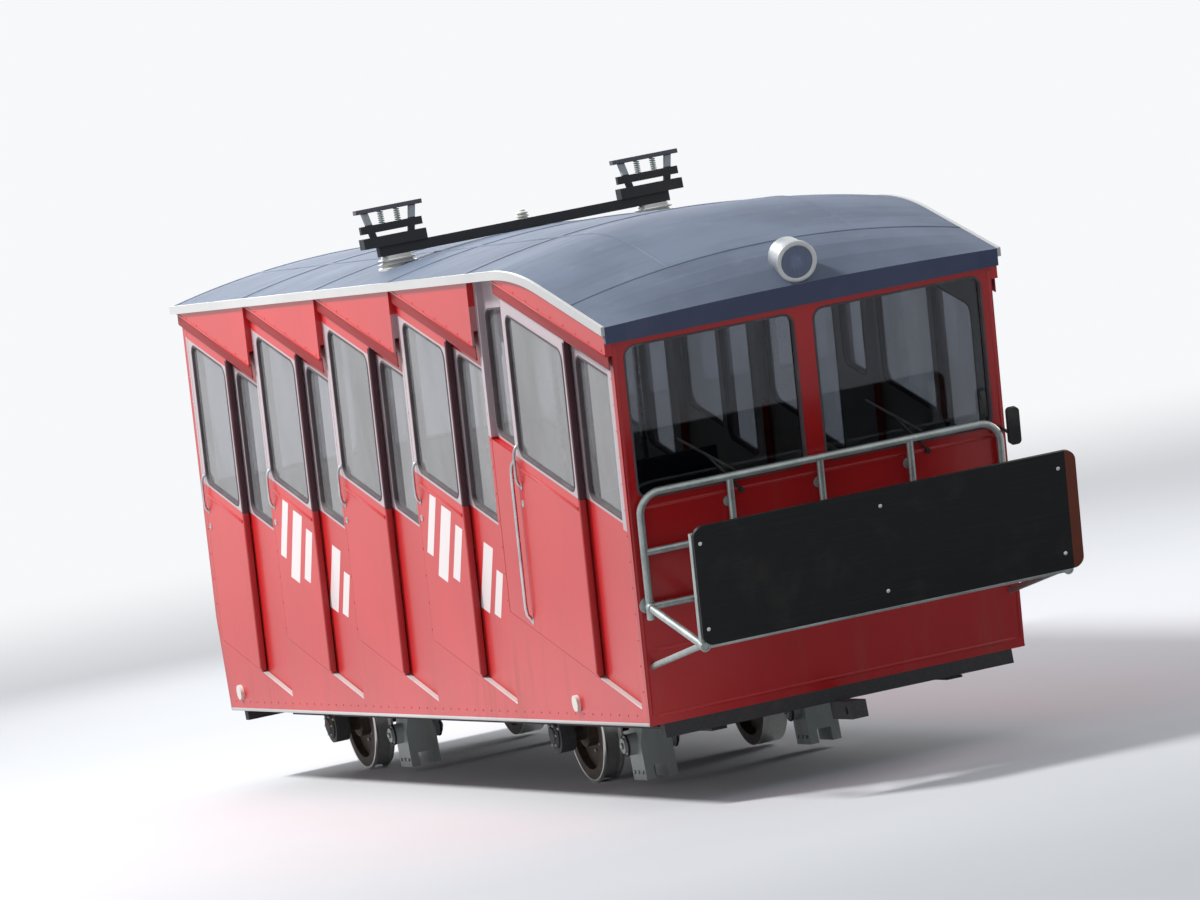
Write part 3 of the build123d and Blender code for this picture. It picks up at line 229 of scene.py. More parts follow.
def rounded(corners, radius, steps=6):
    """Flat closed path with rounded corners: at every corner an arc about the point that lies
    on the bisector at radius over the sine of half the angle."""
    before, after = unit(np.roll(corners, 1, 0) - corners), unit(np.roll(corners, -1, 0) - corners)
    half = np.arccos(np.sum(before * after, 1)) / 2
    middle = corners + unit(before + after) * (radius / np.sin(half))[:, None]
    reach = (radius / np.tan(half))[:, None]
    start, stop = unit(corners + before * reach - middle), unit(corners + after * reach - middle)
    turn = (np.pi - 2 * half)[:, None, None]
    share = np.linspace(0, 1, steps)[None, :, None]
    arc = np.sin((1 - share) * turn) * start[:, None] + np.sin(share * turn) * stop[:, None]
    return (middle[:, None] + radius * arc / np.sin(turn)).reshape(-1, 3)


def joined(parts):
    """Several surfaces as one set of points and triangles."""
    starts = np.cumsum([0] + [len(points) for points, _ in parts[:-1]])
    return (np.concatenate([points for points, _ in parts]),
            np.concatenate([faces + start for (_, faces), start in zip(parts, starts)]))


def piece(name, parts, finish, body="car", smooth=40.0, replaces=()):
    """Mesh object from surfaces, with its finish and the body it rides on."""
    points, triangles = joined(parts)
    mesh = bpy.data.meshes.new(name)
    mesh.from_pydata(points.tolist(), [], triangles.tolist())
    mesh.polygons.foreach_set("use_smooth", np.ones(len(triangles), bool))
    mesh.set_sharp_from_angle(angle=math.radians(smooth))
    mesh.materials.append(finish.material)
    made = bpy.data.objects.new(name, mesh)
    bpy.context.scene.collection.objects.link(made)
    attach(made, body)
    if replaces:
        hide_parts(*replaces)


# Finishes

def tone(red, green, blue):
    """Colour written as it looks on a screen, 0 to 255, as light values."""
    share = np.array([red, green, blue]) / 255
    light = np.where(share < 0.04045, share / 12.92, ((share + 0.055) / 1.055) ** 2.4)
    return (*light.tolist(), 1.0)


def arithmetic(operation, turned_round=False):
    """Method that joins a wire and another value in a Math node."""
    def method(self, other):
        first, second = (other, self) if turned_round else (self, other)
        return self.nodes.node("ShaderNodeMath", {"operation": operation}, {0: first, 1: second})
    return method


class Wire:
    """Output of a node. Arithmetic on it adds Math nodes."""

    def __init__(self, nodes, socket):
        self.nodes, self.socket = nodes, socket

    def math(self, operation, *values):
        inputs = dict(enumerate((self, *values)))
        return self.nodes.node("ShaderNodeMath", {"operation": operation}, inputs)

    __add__, __radd__ = arithmetic("ADD"), arithmetic("ADD", True)
    __sub__, __rsub__ = arithmetic("SUBTRACT"), arithmetic("SUBTRACT", True)
    __mul__, __rmul__ = arithmetic("MULTIPLY"), arithmetic("MULTIPLY", True)
    __truediv__ = arithmetic("DIVIDE")

    def above(self, level, over):
        """0 below level, 1 from level + over on, smooth between. Negative over turns it round."""
        low, high = sorted((level, level + over))
        inputs = {"Value": self, "From Min": low, "From Max": high}
        smooth = {"interpolation_type": "SMOOTHSTEP"}
        rising = self.nodes.node("ShaderNodeMapRange", smooth, inputs)
        return rising if over > 0 else 1 - rising


class Nodes:
    """Node tree to which nodes are added."""

    def __init__(self, tree):
        self.tree = tree

    def node(self, kind, settings=None, inputs=None, outputs=0):
        """New node: its settings, its inputs as wires or values, and one wire or several out."""
        made = self.tree.nodes.new(kind)
        for name, value in (settings or {}).items():
            setattr(made, name, value)
        for name, value in (inputs or {}).items():
            if isinstance(value, Wire):
                self.tree.links.new(value.socket, made.inputs[name])
            else:
                made.inputs[name].default_value = value
        if isinstance(outputs, tuple):
            return tuple(Wire(self, made.outputs[output]) for output in outputs)
        return Wire(self, made.outputs[outputs])

    def mixed(self, share, first, second):
        inputs = {0: share, 6: first, 7: second}
        return self.node("ShaderNodeMix", {"data_type": "RGBA"}, inputs, 2)

    def shades(self, share, colour, first, second):
        """Two shades of a colour, mixed."""
        return self.mixed(share, darker(colour, first), darker(colour, second))

    def seen(self):
        """1 for what the camera sees straight, in a reflection or through glass."""
        straight, glossy, through = self.node("ShaderNodeLightPath", outputs=(
            "Is Camera Ray", "Is Glossy Ray", "Is Transmission Ray"))
        return straight.math("MAXIMUM", glossy).math("MAXIMUM", through)


class Finish(Nodes):
    """Procedural material on Object coordinates, which are the frame's own metres."""

    def __init__(self, name, **constants):
        self.material = bpy.data.materials.new(name)
        self.material.use_nodes = True
        super().__init__(self.material.node_tree)
        self.shader = self.tree.nodes["Principled BSDF"]
        for socket, value in constants.items():
            self.shader.inputs[socket.replace("_", " ")].default_value = value
        self.place, self.normal = self.node("ShaderNodeTexCoord", outputs=("Object", "Normal"))
        self.x, self.y, self.z = self.apart(self.place)

    def apart(self, vector):
        """The three numbers of a vector."""
        return self.node("ShaderNodeSeparateXYZ", None, {0: vector}, ("X", "Y", "Z"))

    def foot(self):
        """Distance up the track to the foot of the post through a point."""
        return self.x - DOWNHILL_X - (self.z - BODY_BOTTOM) * TAN

    def away(self, x, y, z):
        """Distance from a place; an axis given as None doesn't count."""
        offsets = [own - middle for own, middle in zip((self.x, self.y, self.z), (x, y, z))
                   if middle is not None]
        return sum(offset * offset for offset in offsets).math("SQRT")

    def spread(self, x, y, z):
        """Vector of three numbers."""
        return self.node("ShaderNodeCombineXYZ", None, {0: x, 1: y, 2: z})

    def noise(self, scale, detail=3.0, roughness=0.55, vector=None):
        return self.node("ShaderNodeTexNoise", None, {
            "Vector": vector or self.place, "Scale": scale, "Detail": detail,
            "Roughness": roughness})

    def drawn(self, x, y, z, detail=4.0, roughness=0.6):
        """Noise at its own scale along each axis, so that it is drawn out along some."""
        return self.noise(1.0, detail, roughness, self.spread(self.x * x, self.y * y, self.z * z))

    def cells(self, scale):
        """Random number of each cell of a Voronoi pattern."""
        inputs = {"Vector": self.place, "Scale": scale}
        colour = self.node("ShaderNodeTexVoronoi", {"feature": "F1"}, inputs, "Color")
        return self.node("ShaderNodeSeparateColor", None, {0: colour}, "Red")

    def set(self, **wires):
        for socket, wire in wires.items():
            self.tree.links.new(wire.socket, self.shader.inputs[socket.replace("_", " ")])
        return self

    def bump(self, height, distance, strength=1.0):
        """Surface height in metres times distance, through a Bump node."""
        inputs = {"Height": height, "Distance": distance, "Strength": strength}
        return self.set(Normal=self.node("ShaderNodeBump", None, inputs, "Normal"))


def darker(colour, share):
    return (*(c * share for c in colour[:3]), 1.0)


RED, CREAM, DUST = tone(203, 36, 38), tone(176, 173, 165), tone(122, 108, 94)
LOW_GRIME, STREAK_PITCH, EVERYWHERE = 0.95, 6.0, 3.0
FRAME_PALE, BAND_BELOW, BAND_ABOVE = tone(196, 180, 184), 0.026, 0.022
HEAD_RISE = SECTIONS[0].header - HEAD
# Heights over the roof's edge between which the collectors are zinc, and of the worn strip
ROOF_EDGE_Z = at(0, SIDE_RISE)[2]
ZINC, WORN = (ROOF_EDGE_Z + 0.362, ROOF_EDGE_Z + 0.430), ROOF_EDGE_Z + 0.434
# Plain white bars on the sides of the second and fourth section: first foot from the section's
# start, width along the track, lowest and highest rise over the section's floor line
BAR_SECTIONS, BAR_LEAN = (1, 3), 0.42
BARS = ((0.200, 0.110, 0.56, 0.96), (0.385, 0.170, 0.46, 0.94), (0.640, 0.120, 0.52, 0.88),
        (0.990, 0.160, 0.42, 0.86), (1.205, 0.110, 0.44, 0.74))


def within(wire, low, high):
    """1 between two values of a wire, with edges 2 mm wide."""
    return wire.above(low, 0.002) * wire.above(high, -0.002)


def over_floor(finish):
    """Rise over the floor line of the section, or of the cab, that a place stands in."""
    foot = finish.foot()
    cab = foot.math("GREATER_THAN", CAB_START)
    left = SECTION_LENGTH - foot.math("FLOORED_MODULO", SECTION_LENGTH)
    section = SECTIONS[0].floor_low + left * SIN
    driver = CAB.floor_low + (BODY_LENGTH - foot) * SIN
    return (finish.z - BODY_BOTTOM) / COS - section * (1 - cab) - driver * cab


def painted_bars(finish):
    """1 inside a white bar: between two leaning lines and two heights, on a section with bars."""
    foot, over, bars = finish.foot(), over_floor(finish), 0.0
    for n in BAR_SECTIONS:
        place = foot - over * BAR_LEAN - SECTIONS[n].start
        for first, width, low, high in BARS:
            start = first - (low + high) / 2 * BAR_LEAN
            bars = bars + within(place, start, start + width) * within(over, low, high)
    return bars


def paint(name, colour, dirt=1.0, inside=None, coat=0.18, rough=0.30, bars=False, band=False):
    """Sprayed paint: slow change of shade, dust that thickens towards the wheels and runs down
    the posts in streaks, and a fine skin. inside is the distance from the middle below which
    the wall shows its lining. bars adds the plain white bars, and band the pale window frames
    between sill and head."""
    f = Finish(name, Coat_Weight=coat, Coat_Roughness=0.10, Specular_IOR_Level=0.36)
    foot = f.foot()
    streaks = f.noise(1.0, 4.0, 0.6, f.spread(foot * STREAK_PITCH, f.y * STREAK_PITCH, f.z * 0.9))
    patches = f.noise(0.7, 3.0)
    low = f.z.above(BODY_BOTTOM + LOW_GRIME, -LOW_GRIME)
    grime = (low * streaks.above(0.44, 0.40) * 0.22 + streaks.above(0.58, 0.22) * 0.08) * dirt
    faded = f.shades(patches.above(0.35, 0.35), colour, 0.93, 1.06)
    if bars:
        faded = f.mixed(painted_bars(f), faded, tone(236, 226, 224))
    if band:
        frames = within(over_floor(f), SILL - BAND_BELOW, HEAD_RISE + BAND_ABOVE)
        faded = f.mixed(frames, faded, f.shades(patches, FRAME_PALE, 1.0, 0.86))
    chips = f.noise(42.0, 2.0).above(0.735, 0.02) * low
    outer = f.mixed(grime.math("MINIMUM", 0.7), faded, DUST)
    outer = f.mixed(chips * 0.6, outer, tone(90, 70, 64))
    roughness = rough + grime * 0.5
    if inside:
        tucked = (1 - (f.z - BODY_BOTTOM) / (COS * TUCK_RISE)).math("MAXIMUM", 0.0) * TUCK_IN
        lining = (f.y.math("ABSOLUTE").math("LESS_THAN", inside)
                  * (foot - tucked).math("GREATER_THAN", END_WALL / COS - 0.001)
                  * foot.math("LESS_THAN", BODY_LENGTH - END_WALL / COS + 0.001))
        outer = f.mixed(lining, outer, f.shades(f.noise(3.0), CREAM, 1.0, 0.88))
        roughness = roughness + lining * 0.22
    f.set(Base_Color=outer, Roughness=roughness)
    return f.bump(f.noise(55.0, 2.0), 0.0006, 0.35)


def roof_finish():
    """Blue-grey roof paint: dull, washed by rain towards the edges, dusty in the middle, with
    painted shade in dark navy on the faces turned uphill, and with a light lining on its
    underside."""
    f = Finish("roof paint", Specular_IOR_Level=0.28)
    runs = f.drawn(7.0, 0.9, 0.9)
    blotch = f.noise(1.6, 5.0)
    colour = f.mixed(blotch.above(0.35, 0.3), tone(95, 106, 123), tone(107, 118, 136))
    colour = f.mixed(runs.above(0.5, 0.3) * 0.30, colour, tone(66, 74, 90))
    spots = f.noise(6.0, 5.0).above(0.60, 0.14)
    colour = f.mixed(spots * 0.16, colour, tone(140, 144, 148))
    facing, _, upward = f.apart(f.normal)
    # Faces turned uphill, on the roof's front roll-down, are painted dark navy: painted shade
    colour = f.mixed(facing.above(0.82, 0.1) * 0.65, colour, tone(44, 52, 88))
    turned_down = upward.above(-0.25, -0.1)
    indoors = f.y.math("ABSOLUTE").math("LESS_THAN", WALL_IN - 0.001)
    colour = f.mixed(turned_down * indoors, colour, f.shades(f.noise(2.5), CREAM, 1.0, 0.9))
    f.set(Base_Color=colour, Roughness=0.56 + runs * 0.22)
    return f.bump(f.noise(14.0, 3.0), 0.002, 0.25)


def bare_metal(name, colour, rough, spangle=0.0, metal=0.85, dirt=0.25):
    """Metal without paint: crystals or brush marks, worn patches and dust in the low places."""
    f = Finish(name)
    worn = f.noise(9.0, 4.0)
    shade = f.shades(worn.above(0.35, 0.35), colour, 0.80, 1.08)
    if spangle:
        shade = f.mixed(f.cells(spangle) * 0.35, shade, darker(colour, 1.35))
    dust = f.noise(3.0, 4.0).above(0.48, 0.25) * dirt
    f.set(Base_Color=f.mixed(dust, shade, tone(120, 112, 100)), Metallic=metal - dust * 0.8,
          Roughness=rough + worn * 0.18 + dust * 0.4)
    return f.bump(worn, 0.0015, 0.2)


def cast_metal(name, colour, rust=0.35, metal=0.0, pale=None, worn_above=None):
    """Rough cast or rolled iron: grain, brake dust and rust in patches. Between the two heights
    of pale it is plain zinc, and above worn_above it is rubbed down to dark carbon."""
    f = Finish(name)
    grain, patch = f.noise(70.0, 4.0), f.noise(5.0, 5.0)
    shade = f.shades(grain.above(0.4, 0.25), colour, 0.75, 1.12)
    brown = patch.above(0.50, 0.2) * rust
    shade, bare = f.mixed(brown, shade, tone(98, 66, 46)), metal - brown * metal
    if pale:
        zinc = within(f.z, *pale)
        shade = f.mixed(zinc, shade, f.mixed(patch, tone(168, 172, 172), tone(196, 199, 198)))
    if worn_above:
        rubbed = f.z.above(worn_above, 0.003)
        carbon = f.mixed(f.noise(60.0), tone(86, 84, 92), tone(106, 103, 110))
        shade = f.mixed(rubbed, shade, carbon)
        bare = bare + rubbed * 0.2
    f.set(Base_Color=shade, Roughness=0.58 + grain * 0.22, Metallic=bare)
    return f.bump(grain, 0.0018, 0.4)


def wheel_finish(name, axle_x):
    """Wheel steel: dark discs with brake dust thrown outwards, and bright running faces, which
    are the places farther from the axle than the tread's edge."""
    f = Finish(name)
    running = f.away(axle_x, None, AXLE_HEIGHT).above(TREAD_EDGE, 0.0015)
    thrown = f.noise(1.0, 4.0, 0.6, f.spread(
        (f.x - axle_x) * 16.0, f.y * 16.0, (f.z - AXLE_HEIGHT) * 16.0))
    dark = f.mixed(thrown.above(0.35, 0.35), tone(62, 52, 45), tone(92, 78, 66))
    worn = f.mixed(f.noise(28.0), tone(176, 176, 174), tone(212, 212, 208))
    f.set(Base_Color=f.mixed(running, dark, worn), Metallic=0.15 + running * 0.85,
          Roughness=0.66 - running * 0.40 + thrown * 0.1)
    return f.bump(thrown, 0.002, 0.3)


def timber(name, light, dark, stretch, rough=0.45, worn=0.0):
    """Wood: rings drawn out along the board, fine pores, a lighter worn middle."""
    f = Finish(name)
    grain = f.drawn(*stretch, 5.0, 0.62)
    boards = f.noise(1.3, 2.0)
    colour = f.mixed(grain.above(0.33, 0.36), dark, light)
    colour = f.mixed(boards.above(0.40, 0.3) * 0.35, colour, darker(light, 1.15))
    colour = f.mixed(f.noise(7.0).above(0.5, 0.2) * worn, colour, tone(150, 148, 142))
    f.set(Base_Color=colour, Roughness=rough + grain * 0.25)
    return f.bump(grain, 0.0012, 0.45)


def rubber(name, colour, ribs=0.0, dust=0.25, below_sill=None):
    """Rubber: matt, a little grey with dust, with fine ribs along the car if wanted. Under the
    sill it has the colour below_sill."""
    f = Finish(name)
    cloud = f.noise(5.0, 4.0)
    powder = cloud.above(0.45, 0.3) * dust
    height = f.noise(120.0, 2.0)
    if ribs:
        height = (f.y * (2 * math.pi / ribs)).math("SINE") * 0.6 + height * 0.2
    if below_sill:
        colour = f.mixed(over_floor(f).above(SILL - BAND_BELOW, -0.002), colour, below_sill)
    f.set(Base_Color=f.mixed(powder, colour, tone(128, 124, 116)), Roughness=0.70 + cloud * 0.2)
    return f.bump(height, 0.0014, 0.5)


def pane(name, colour, clear, dirty, film_colour):
    """Window glass: tinted and shiny, see-through by the share clear, with runs of dust that
    pale it and take some of its shine."""
    f = Finish(name, IOR=1.45, Transmission_Weight=clear)
    wash = f.drawn(3.2, 3.2, 1.4, 2.0, 0.5)
    film = wash.above(0.35, 0.4) * dirty
    return f.set(Base_Color=f.mixed(film, colour, film_colour), Roughness=0.015 + film * 0.05)


def plastic(name, colour, rough=0.42, grain=160.0):
    """Moulded plastic with a fine grain and faint handling marks."""
    f = Finish(name)
    marks = f.noise(6.0, 4.0)
    f.set(Base_Color=f.shades(marks.above(0.4, 0.35), colour, 0.9, 1.08),
          Roughness=rough + marks * 0.15)
    return f.bump(f.noise(grain, 2.0), 0.0006, 0.3)


def board_finish():
    """Black sheet of the board: fine scratches across it, dust, a brown strip at its right end."""
    f = Finish("board sheet", Specular_IOR_Level=0.22)
    scratches = f.drawn(3.0, 3.0, 70.0)
    colour = f.mixed(scratches.above(0.45, 0.3), tone(9, 10, 12), tone(20, 21, 24))
    colour = f.mixed(f.noise(4.0, 4.0).above(0.5, 0.25) * 0.06, colour, tone(110, 106, 98))
    end = f.y.above(BOARD_SHIFT + BOARD_WIDTH / 2 - 0.062, 0.002)
    colour = f.mixed(end, colour, f.mixed(f.noise(8.0), tone(92, 44, 30), tone(116, 60, 42)))
    f.set(Base_Color=colour, Roughness=0.36 + scratches * 0.2)
    return f.bump(scratches, 0.0006, 0.3)


def lamp_lens(name, colour, centre, glow=0.0):
    """Lamp glass: upright flutes and a paler middle, a painted highlight that stands for the bulb
    behind it.
    """
    f = Finish(name, Roughness=0.08, Coat_Weight=0.6, Coat_Roughness=0.04)
    # Paler middle: painted highlight for the bulb behind the glass
    shade = f.shades(f.away(*centre).above(0.055, -0.045), colour, 1.0, 1.9)
    f.set(Base_Color=f.mixed(f.noise(25.0), shade, darker(colour, 0.8)))
    if glow:
        f.shader.inputs["Emission Strength"].default_value = glow
        f.set(Emission_Color=shade)
    return f.bump((f.y * (2 * math.pi / 0.014)).math("SINE"), 0.002, 0.5)


body_paint = paint("body paint", RED, inside=WALL_IN + 0.0006, bars=True, band=True)
frame_red = paint("frame paint red", RED, band=True)
# Darker red of the cover flaps: painted shadow under the covers' lower edges
flap_shadow_paint = paint("flap painted shadow", tone(158, 27, 29), dirt=0.6, coat=0.0, rough=0.5)
door_paint = paint("door paint", darker(RED, 1.03), inside=LEAF_IN + 0.0006, bars=True, band=True)
# End walls in a darker red than the sides: painted shade
end_shaded_paint = paint("end wall paint", darker(RED, 0.84), dirt=0.9, inside=EVERYWHERE)
roof_paint = roof_finish()
gutter_paint = paint("gutter paint", tone(200, 199, 197), dirt=0.6, coat=0.2)
white_paint = paint("white paint", tone(232, 232, 228), dirt=0.5)
pad_paint = paint("pad paint", tone(226, 222, 214), dirt=1.2, coat=0.0, rough=0.5)
chassis_paint = cast_metal("chassis paint", tone(46, 47, 50), rust=0.22)
cast_iron = cast_metal("cast iron", tone(62, 62, 64), rust=0.40)
caliper_paint = paint("caliper paint", tone(176, 184, 180), dirt=1.5, coat=0.1, rough=0.45)
collector_metal = cast_metal("collector metal", tone(38, 40, 44), 0.15, pale=ZINC, worn_above=WORN)
porcelain = plastic("insulator glaze", tone(214, 212, 204), rough=0.16, grain=20.0)
galvanised = bare_metal("galvanised steel", tone(164, 172, 170), 0.36, spangle=70.0)
aluminium = bare_metal("brushed aluminium", tone(196, 200, 202), 0.28, dirt=0.12)
polished = bare_metal("polished steel", tone(206, 208, 208), 0.18, metal=1.0, dirt=0.05)
board_black = board_finish()
board_brown = timber("board edge", tone(112, 74, 48), tone(72, 46, 30), (4.0, 4.0, 60.0))
slat_timber = timber("rack slats", tone(150, 142, 126), tone(104, 96, 84), (3.0, 55.0, 55.0),
                     worn=0.6)
bench_timber = timber("bench slats", tone(176, 122, 72), tone(122, 78, 42), (60.0, 2.2, 60.0),
                      rough=0.30)
bench_frame = paint("bench frame", tone(84, 88, 92), dirt=0.5, coat=0.1, rough=0.45)
desk_plastic = plastic("desk moulding", tone(66, 70, 76))
seat_plastic = plastic("seat moulding", tone(38, 46, 66), rough=0.5, grain=220.0)
dial_white = plastic("dial face", tone(226, 226, 220), rough=0.3)
floor_rubber = rubber("floor covering", tone(84, 86, 88), ribs=0.024, dust=0.35)
black_rubber = rubber("black rubber", tone(24, 24, 25))
# Door edge strips: rubber, dark above the sill and darker red below it, partly painted shade on
# the leaves' edge faces
edge_rubber_and_shade = rubber("door edge rubber", tone(70, 38, 46), dust=0.1, below_sill=tone(176, 42, 45))
window_rubber = rubber("window rubber", tone(84, 74, 78), dust=0.4)
side_pane = pane("side glass", tone(196, 196, 198), 0.76, 0.50, tone(150, 150, 150))
end_pane = pane("end glass", tone(146, 154, 166), 1.0, 0.20, tone(170, 170, 168))
wheels = {name: wheel_finish(f"wheel steel {name}", DOWNHILL_X + foot) for name, foot in AXLES}
LAMP_RISE, LAMP_RIM_R, TAIL_R, TAIL_RIM_R = 0.168, 0.1035, 0.070, 0.076
LAMP_PLACE = off_end(-0.010, 0.0, END_RISE) + UP_POST * LAMP_RISE
TAIL_PLACE = off_end(0.0, 0.0, SIDE_RISE + 0.020, foot=0.0) - LEVEL * 0.070
head_glass = lamp_lens("headlamp glass", tone(84, 100, 132), LAMP_PLACE)
tail_glass = lamp_lens("tail lamp glass", tone(120, 14, 16), TAIL_PLACE)
ceiling_glass = lamp_lens("ceiling lamp cover", tone(226, 226, 218), (0.0, 0.0, 3.2), glow=0.25)

CAD_FINISHES = {
    "side_panels": body_paint, "side_frame": frame_red, "door": door_paint, "end_wall": end_shaded_paint,
    "side_glass": side_pane, "glass": side_pane, "end_glass": end_pane, "roof": roof_paint,
    "gutters": gutter_paint, "headlamp": aluminium, "headlamp_lens": head_glass,
    "tail_lamp": frame_red, "floor": floor_rubber, "benches": bench_frame, "grab_poles": polished,
    "desk": desk_plastic, "driver_seat": seat_plastic, "underframe": chassis_paint,
    "wheelset_downhill": wheels["downhill"], "wheelset_uphill": wheels["uphill"],
    "axle_boxes": cast_iron, "calipers": caliper_paint, "rope_socket": cast_iron,
    "rack_frame": galvanised, "rack_floor": slat_timber, "board_posts": galvanised,
    "sign_board": board_black, "collector_bases": porcelain, "collectors": collector_metal,
    "wipers": black_rubber, "mirror": black_rubber, "jacking_pads": pad_paint,
}
for name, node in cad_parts.items():
    known = [key for key in CAD_FINISHES if name == key or name.startswith(key + "_")]
    finish = CAD_FINISHES[max(known, key=len)]
    if not node.material_slots:
        node.data.materials.append(finish.material)
    for material_slot in node.material_slots:
        material_slot.material = finish.material


# Window rubbers

PANE_THICK, CAB_PANE_DROP = 0.006, 0.190


def gasket(corners, out, depth):
    """Rubber in the edge of a window, on one face of the wall: a lip on the face and a leg
    down to the pane, carried round the rounded window."""
    profile = np.array([(-0.008, -depth), (-0.006, -0.002), (-0.004, 0.003), (0.003, 0.004),
                        (0.007, 0.0025), (0.008, -0.001), (0.001, -0.001), (0.001, -depth)])
    return swept(rounded(corners, CORNER), out, profile, closed=True)


def both_faces(corners, sign, outer, inner):
    """The rubbers of one side window on its outer and inner face."""
    depth = (outer - inner - PANE_THICK) / 2
    return [gasket(corners * (1, 0, 1) + ACROSS * sign * y, ACROSS * sign * way, depth)
            for y, way in ((outer, 1), (inner, -1))]


def panel_windows():
    """Corners of the fixed side windows: one beside every leaf, one ahead of the cab's leaf."""
    for s in SECTIONS:
        yield s.field(s.leaf[1] + PANEL_BORDER, s.high - PANEL_BORDER, SILL, HEAD)
    low, high = CAB.low + PANEL_BORDER / 2, CAB.leaf[0] - PANEL_BORDER
    top = SIDE_RISE - CAB_PANE_DROP
    yield at([low, high, high, low], [CAB.floor(low) + SILL, CAB.floor(high) + SILL, top, top])


for side, sign in SIDES:
    for s in SECTIONS:
        window = s.field(s.leaf[0] + LEAF_STILE, s.leaf[1] - LEAF_STILE, SILL, HEAD)
        piece(f"door_rubber_{side}_{s.name}", both_faces(window, sign, LEAF_OUT, LEAF_IN),
              window_rubber, f"door_{side}_{s.name}")
    rubbers = [part for corners in panel_windows()
               for part in both_faces(corners, sign, WALL_OUT, WALL_IN)]
    piece(f"side_rubbers_{side}", rubbers, window_rubber)
window_y = np.array([END_PILLAR / 2, FRAME_OUT - END_POST])[[0, 1, 1, 0]]
for name, foot, low, high, way in (
    ("uphill", BODY_LENGTH, END_SILL, END_RISE - END_HEAD, 1),
    ("downhill", 0.0, REAR_SILL, SIDE_RISE - END_HEAD, -1),
):
    parts, rise = [], np.array([low, low, high, high])
    for y in (-window_y, window_y):
        parts += [gasket(off_end(run, y, rise, foot), LEVEL * face, (END_WALL - PANE_THICK) / 2)
                  for run, face in ((0.0, way), (-way * END_WALL, -way))]
    piece(f"end_rubbers_{name}", parts, window_rubber)

# Door leaves

SEAL = mirrored((-0.016, -0.001), (-0.0165, 0.001), (-0.013, 0.0035))
DOOR_LIP = mirrored((-0.5, -0.001), (-0.5, 0.0015), (-0.35, 0.0035))
SEAL_END, LAP_IN, LAP_WIDTH, FLAP_REACH = 0.012, 0.014, 0.026, 0.110
GRIP_IN, GRIP_RISE, GRIP_LENGTH, LOCK_DROP = 0.036, 0.98, 0.240, 0.22
MOULDING_IN, MOULDING_DROP = 0.050, 0.090
GRIP_PLATE = (0.017, -0.001), (0.017, 0.003), (0.013, 0.006)
LOCK = (0.020, -0.001), (0.020, 0.003), (0.016, 0.005), (0.009, 0.005), (0.008, 0.002)


def strip(start, stop, out, width, lift=1.0):
    """Flat strip with rounded edges laid on a face between two places."""
    return bar(start, stop, out, DOOR_LIP * (width, lift), bevel=0.0008)


def handle(base, out, length, stand, radius, power, plate):
    """Bowed handle up the posts, whose stand-off is 1 minus the power of the place along it, and
    its two round plates."""
    u = np.linspace(-1, 1, 25)[:, None]
    path = base + UP_POST * u * length / 2 + out * (stand * (1 - u ** power) + 0.001)
    return [swept(path, np.cross(UP_POST, out), circle(radius, 10)),
            *(turned(base + UP_POST * v, out, plate, 20) for v in (-length / 2, length / 2))]


for side, sign in SIDES:
    out = ACROSS * sign
    for s in SECTIONS:
        face, leaf = sign * LEAF_OUT, f"door_{side}_{s.name}"
        # Edge strips and a lap strip on the leaf, in rubber darkened as painted shade at the
        # leaf's edges
        corners = s.field(*s.leaf, SEAL_END, SEAL_END, sign * (LEAF_OUT + LEAF_IN) / 2)
        edges = [bar(corners[first], corners[last], LEVEL * way, SEAL)
                 for first, last, way in ((0, 3, -1), (1, 2, 1))]
        lap = s.leaf[1] - LAP_IN
        rises = s.floor(lap) + np.array([0.020, s.header - FLAP_REACH])
        edges.append(strip(*at(lap, rises, face), out, LAP_WIDTH))
        piece(f"door_edges_{side}_{s.name}", edges, edge_rubber_and_shade, leaf)
        foot = s.leaf[0] + GRIP_IN
        place = at(foot, s.floor(foot) + GRIP_RISE, face)
        metal = [*handle(place, out, GRIP_LENGTH, 0.024, 0.0085, 6, GRIP_PLATE),
                 turned(place - UP_POST * LOCK_DROP, out, LOCK, 24)]
        piece(f"door_grip_{side}_{s.name}", metal, aluminium, leaf)
        feet = s.leaf + MOULDING_IN * np.array([1, -1])
        sill = at(feet, s.floor(feet) + SILL - MOULDING_DROP, face)
        piece(f"door_moulding_{side}_{s.name}", [strip(*sill, out, 0.022, 1.2)], door_paint,
              leaf)

# Body side trim

COVER_START, COVER_END, RIVET_PITCH = 0.420, 0.004, 0.155
# Flap under each cover, in front of the top of the leaf, in a darker red that is painted shadow
# under the cover's edge
FLAP_HEIGHT, FLAP_OUT = 0.092, 1.131
CAB_PANEL_GAP, CAB_PANEL_DROP = 0.006, 0.036
CAB_RAIL_LENGTH, CAB_RAIL_IN, CAB_RAIL_STAND, CAB_RAIL_R = 0.960, 0.026, 0.034, 0.011
CAB_RAIL_PLATE = (0.022, -0.001), (0.022, 0.003), (0.014, 0.008)
SKIRT_RISE, RIVET_RISE, RIVET_R, RIVET_HEIGHT = 0.010, 0.062, 0.0065, 0.0028
step_profile = rounded_rectangle(0.010, FRAME_OUT - WALL_OUT - 0.002)
flap_profile = np.array([(-0.5, 0.0), (-0.47, 0.004), (0.46, 0.004), (0.5, 0.0015), (0.5, -0.0015),
                         (0.46, -0.004), (0.30, -0.001), (-0.47, -0.001)]) * (FLAP_HEIGHT, 1.0)
skirt_profile = np.array([(-0.009, -0.001), (-0.009, 0.003), (-0.004, 0.005), (0.005, 0.005),
                          (0.009, 0.003), (0.009, -0.001)])
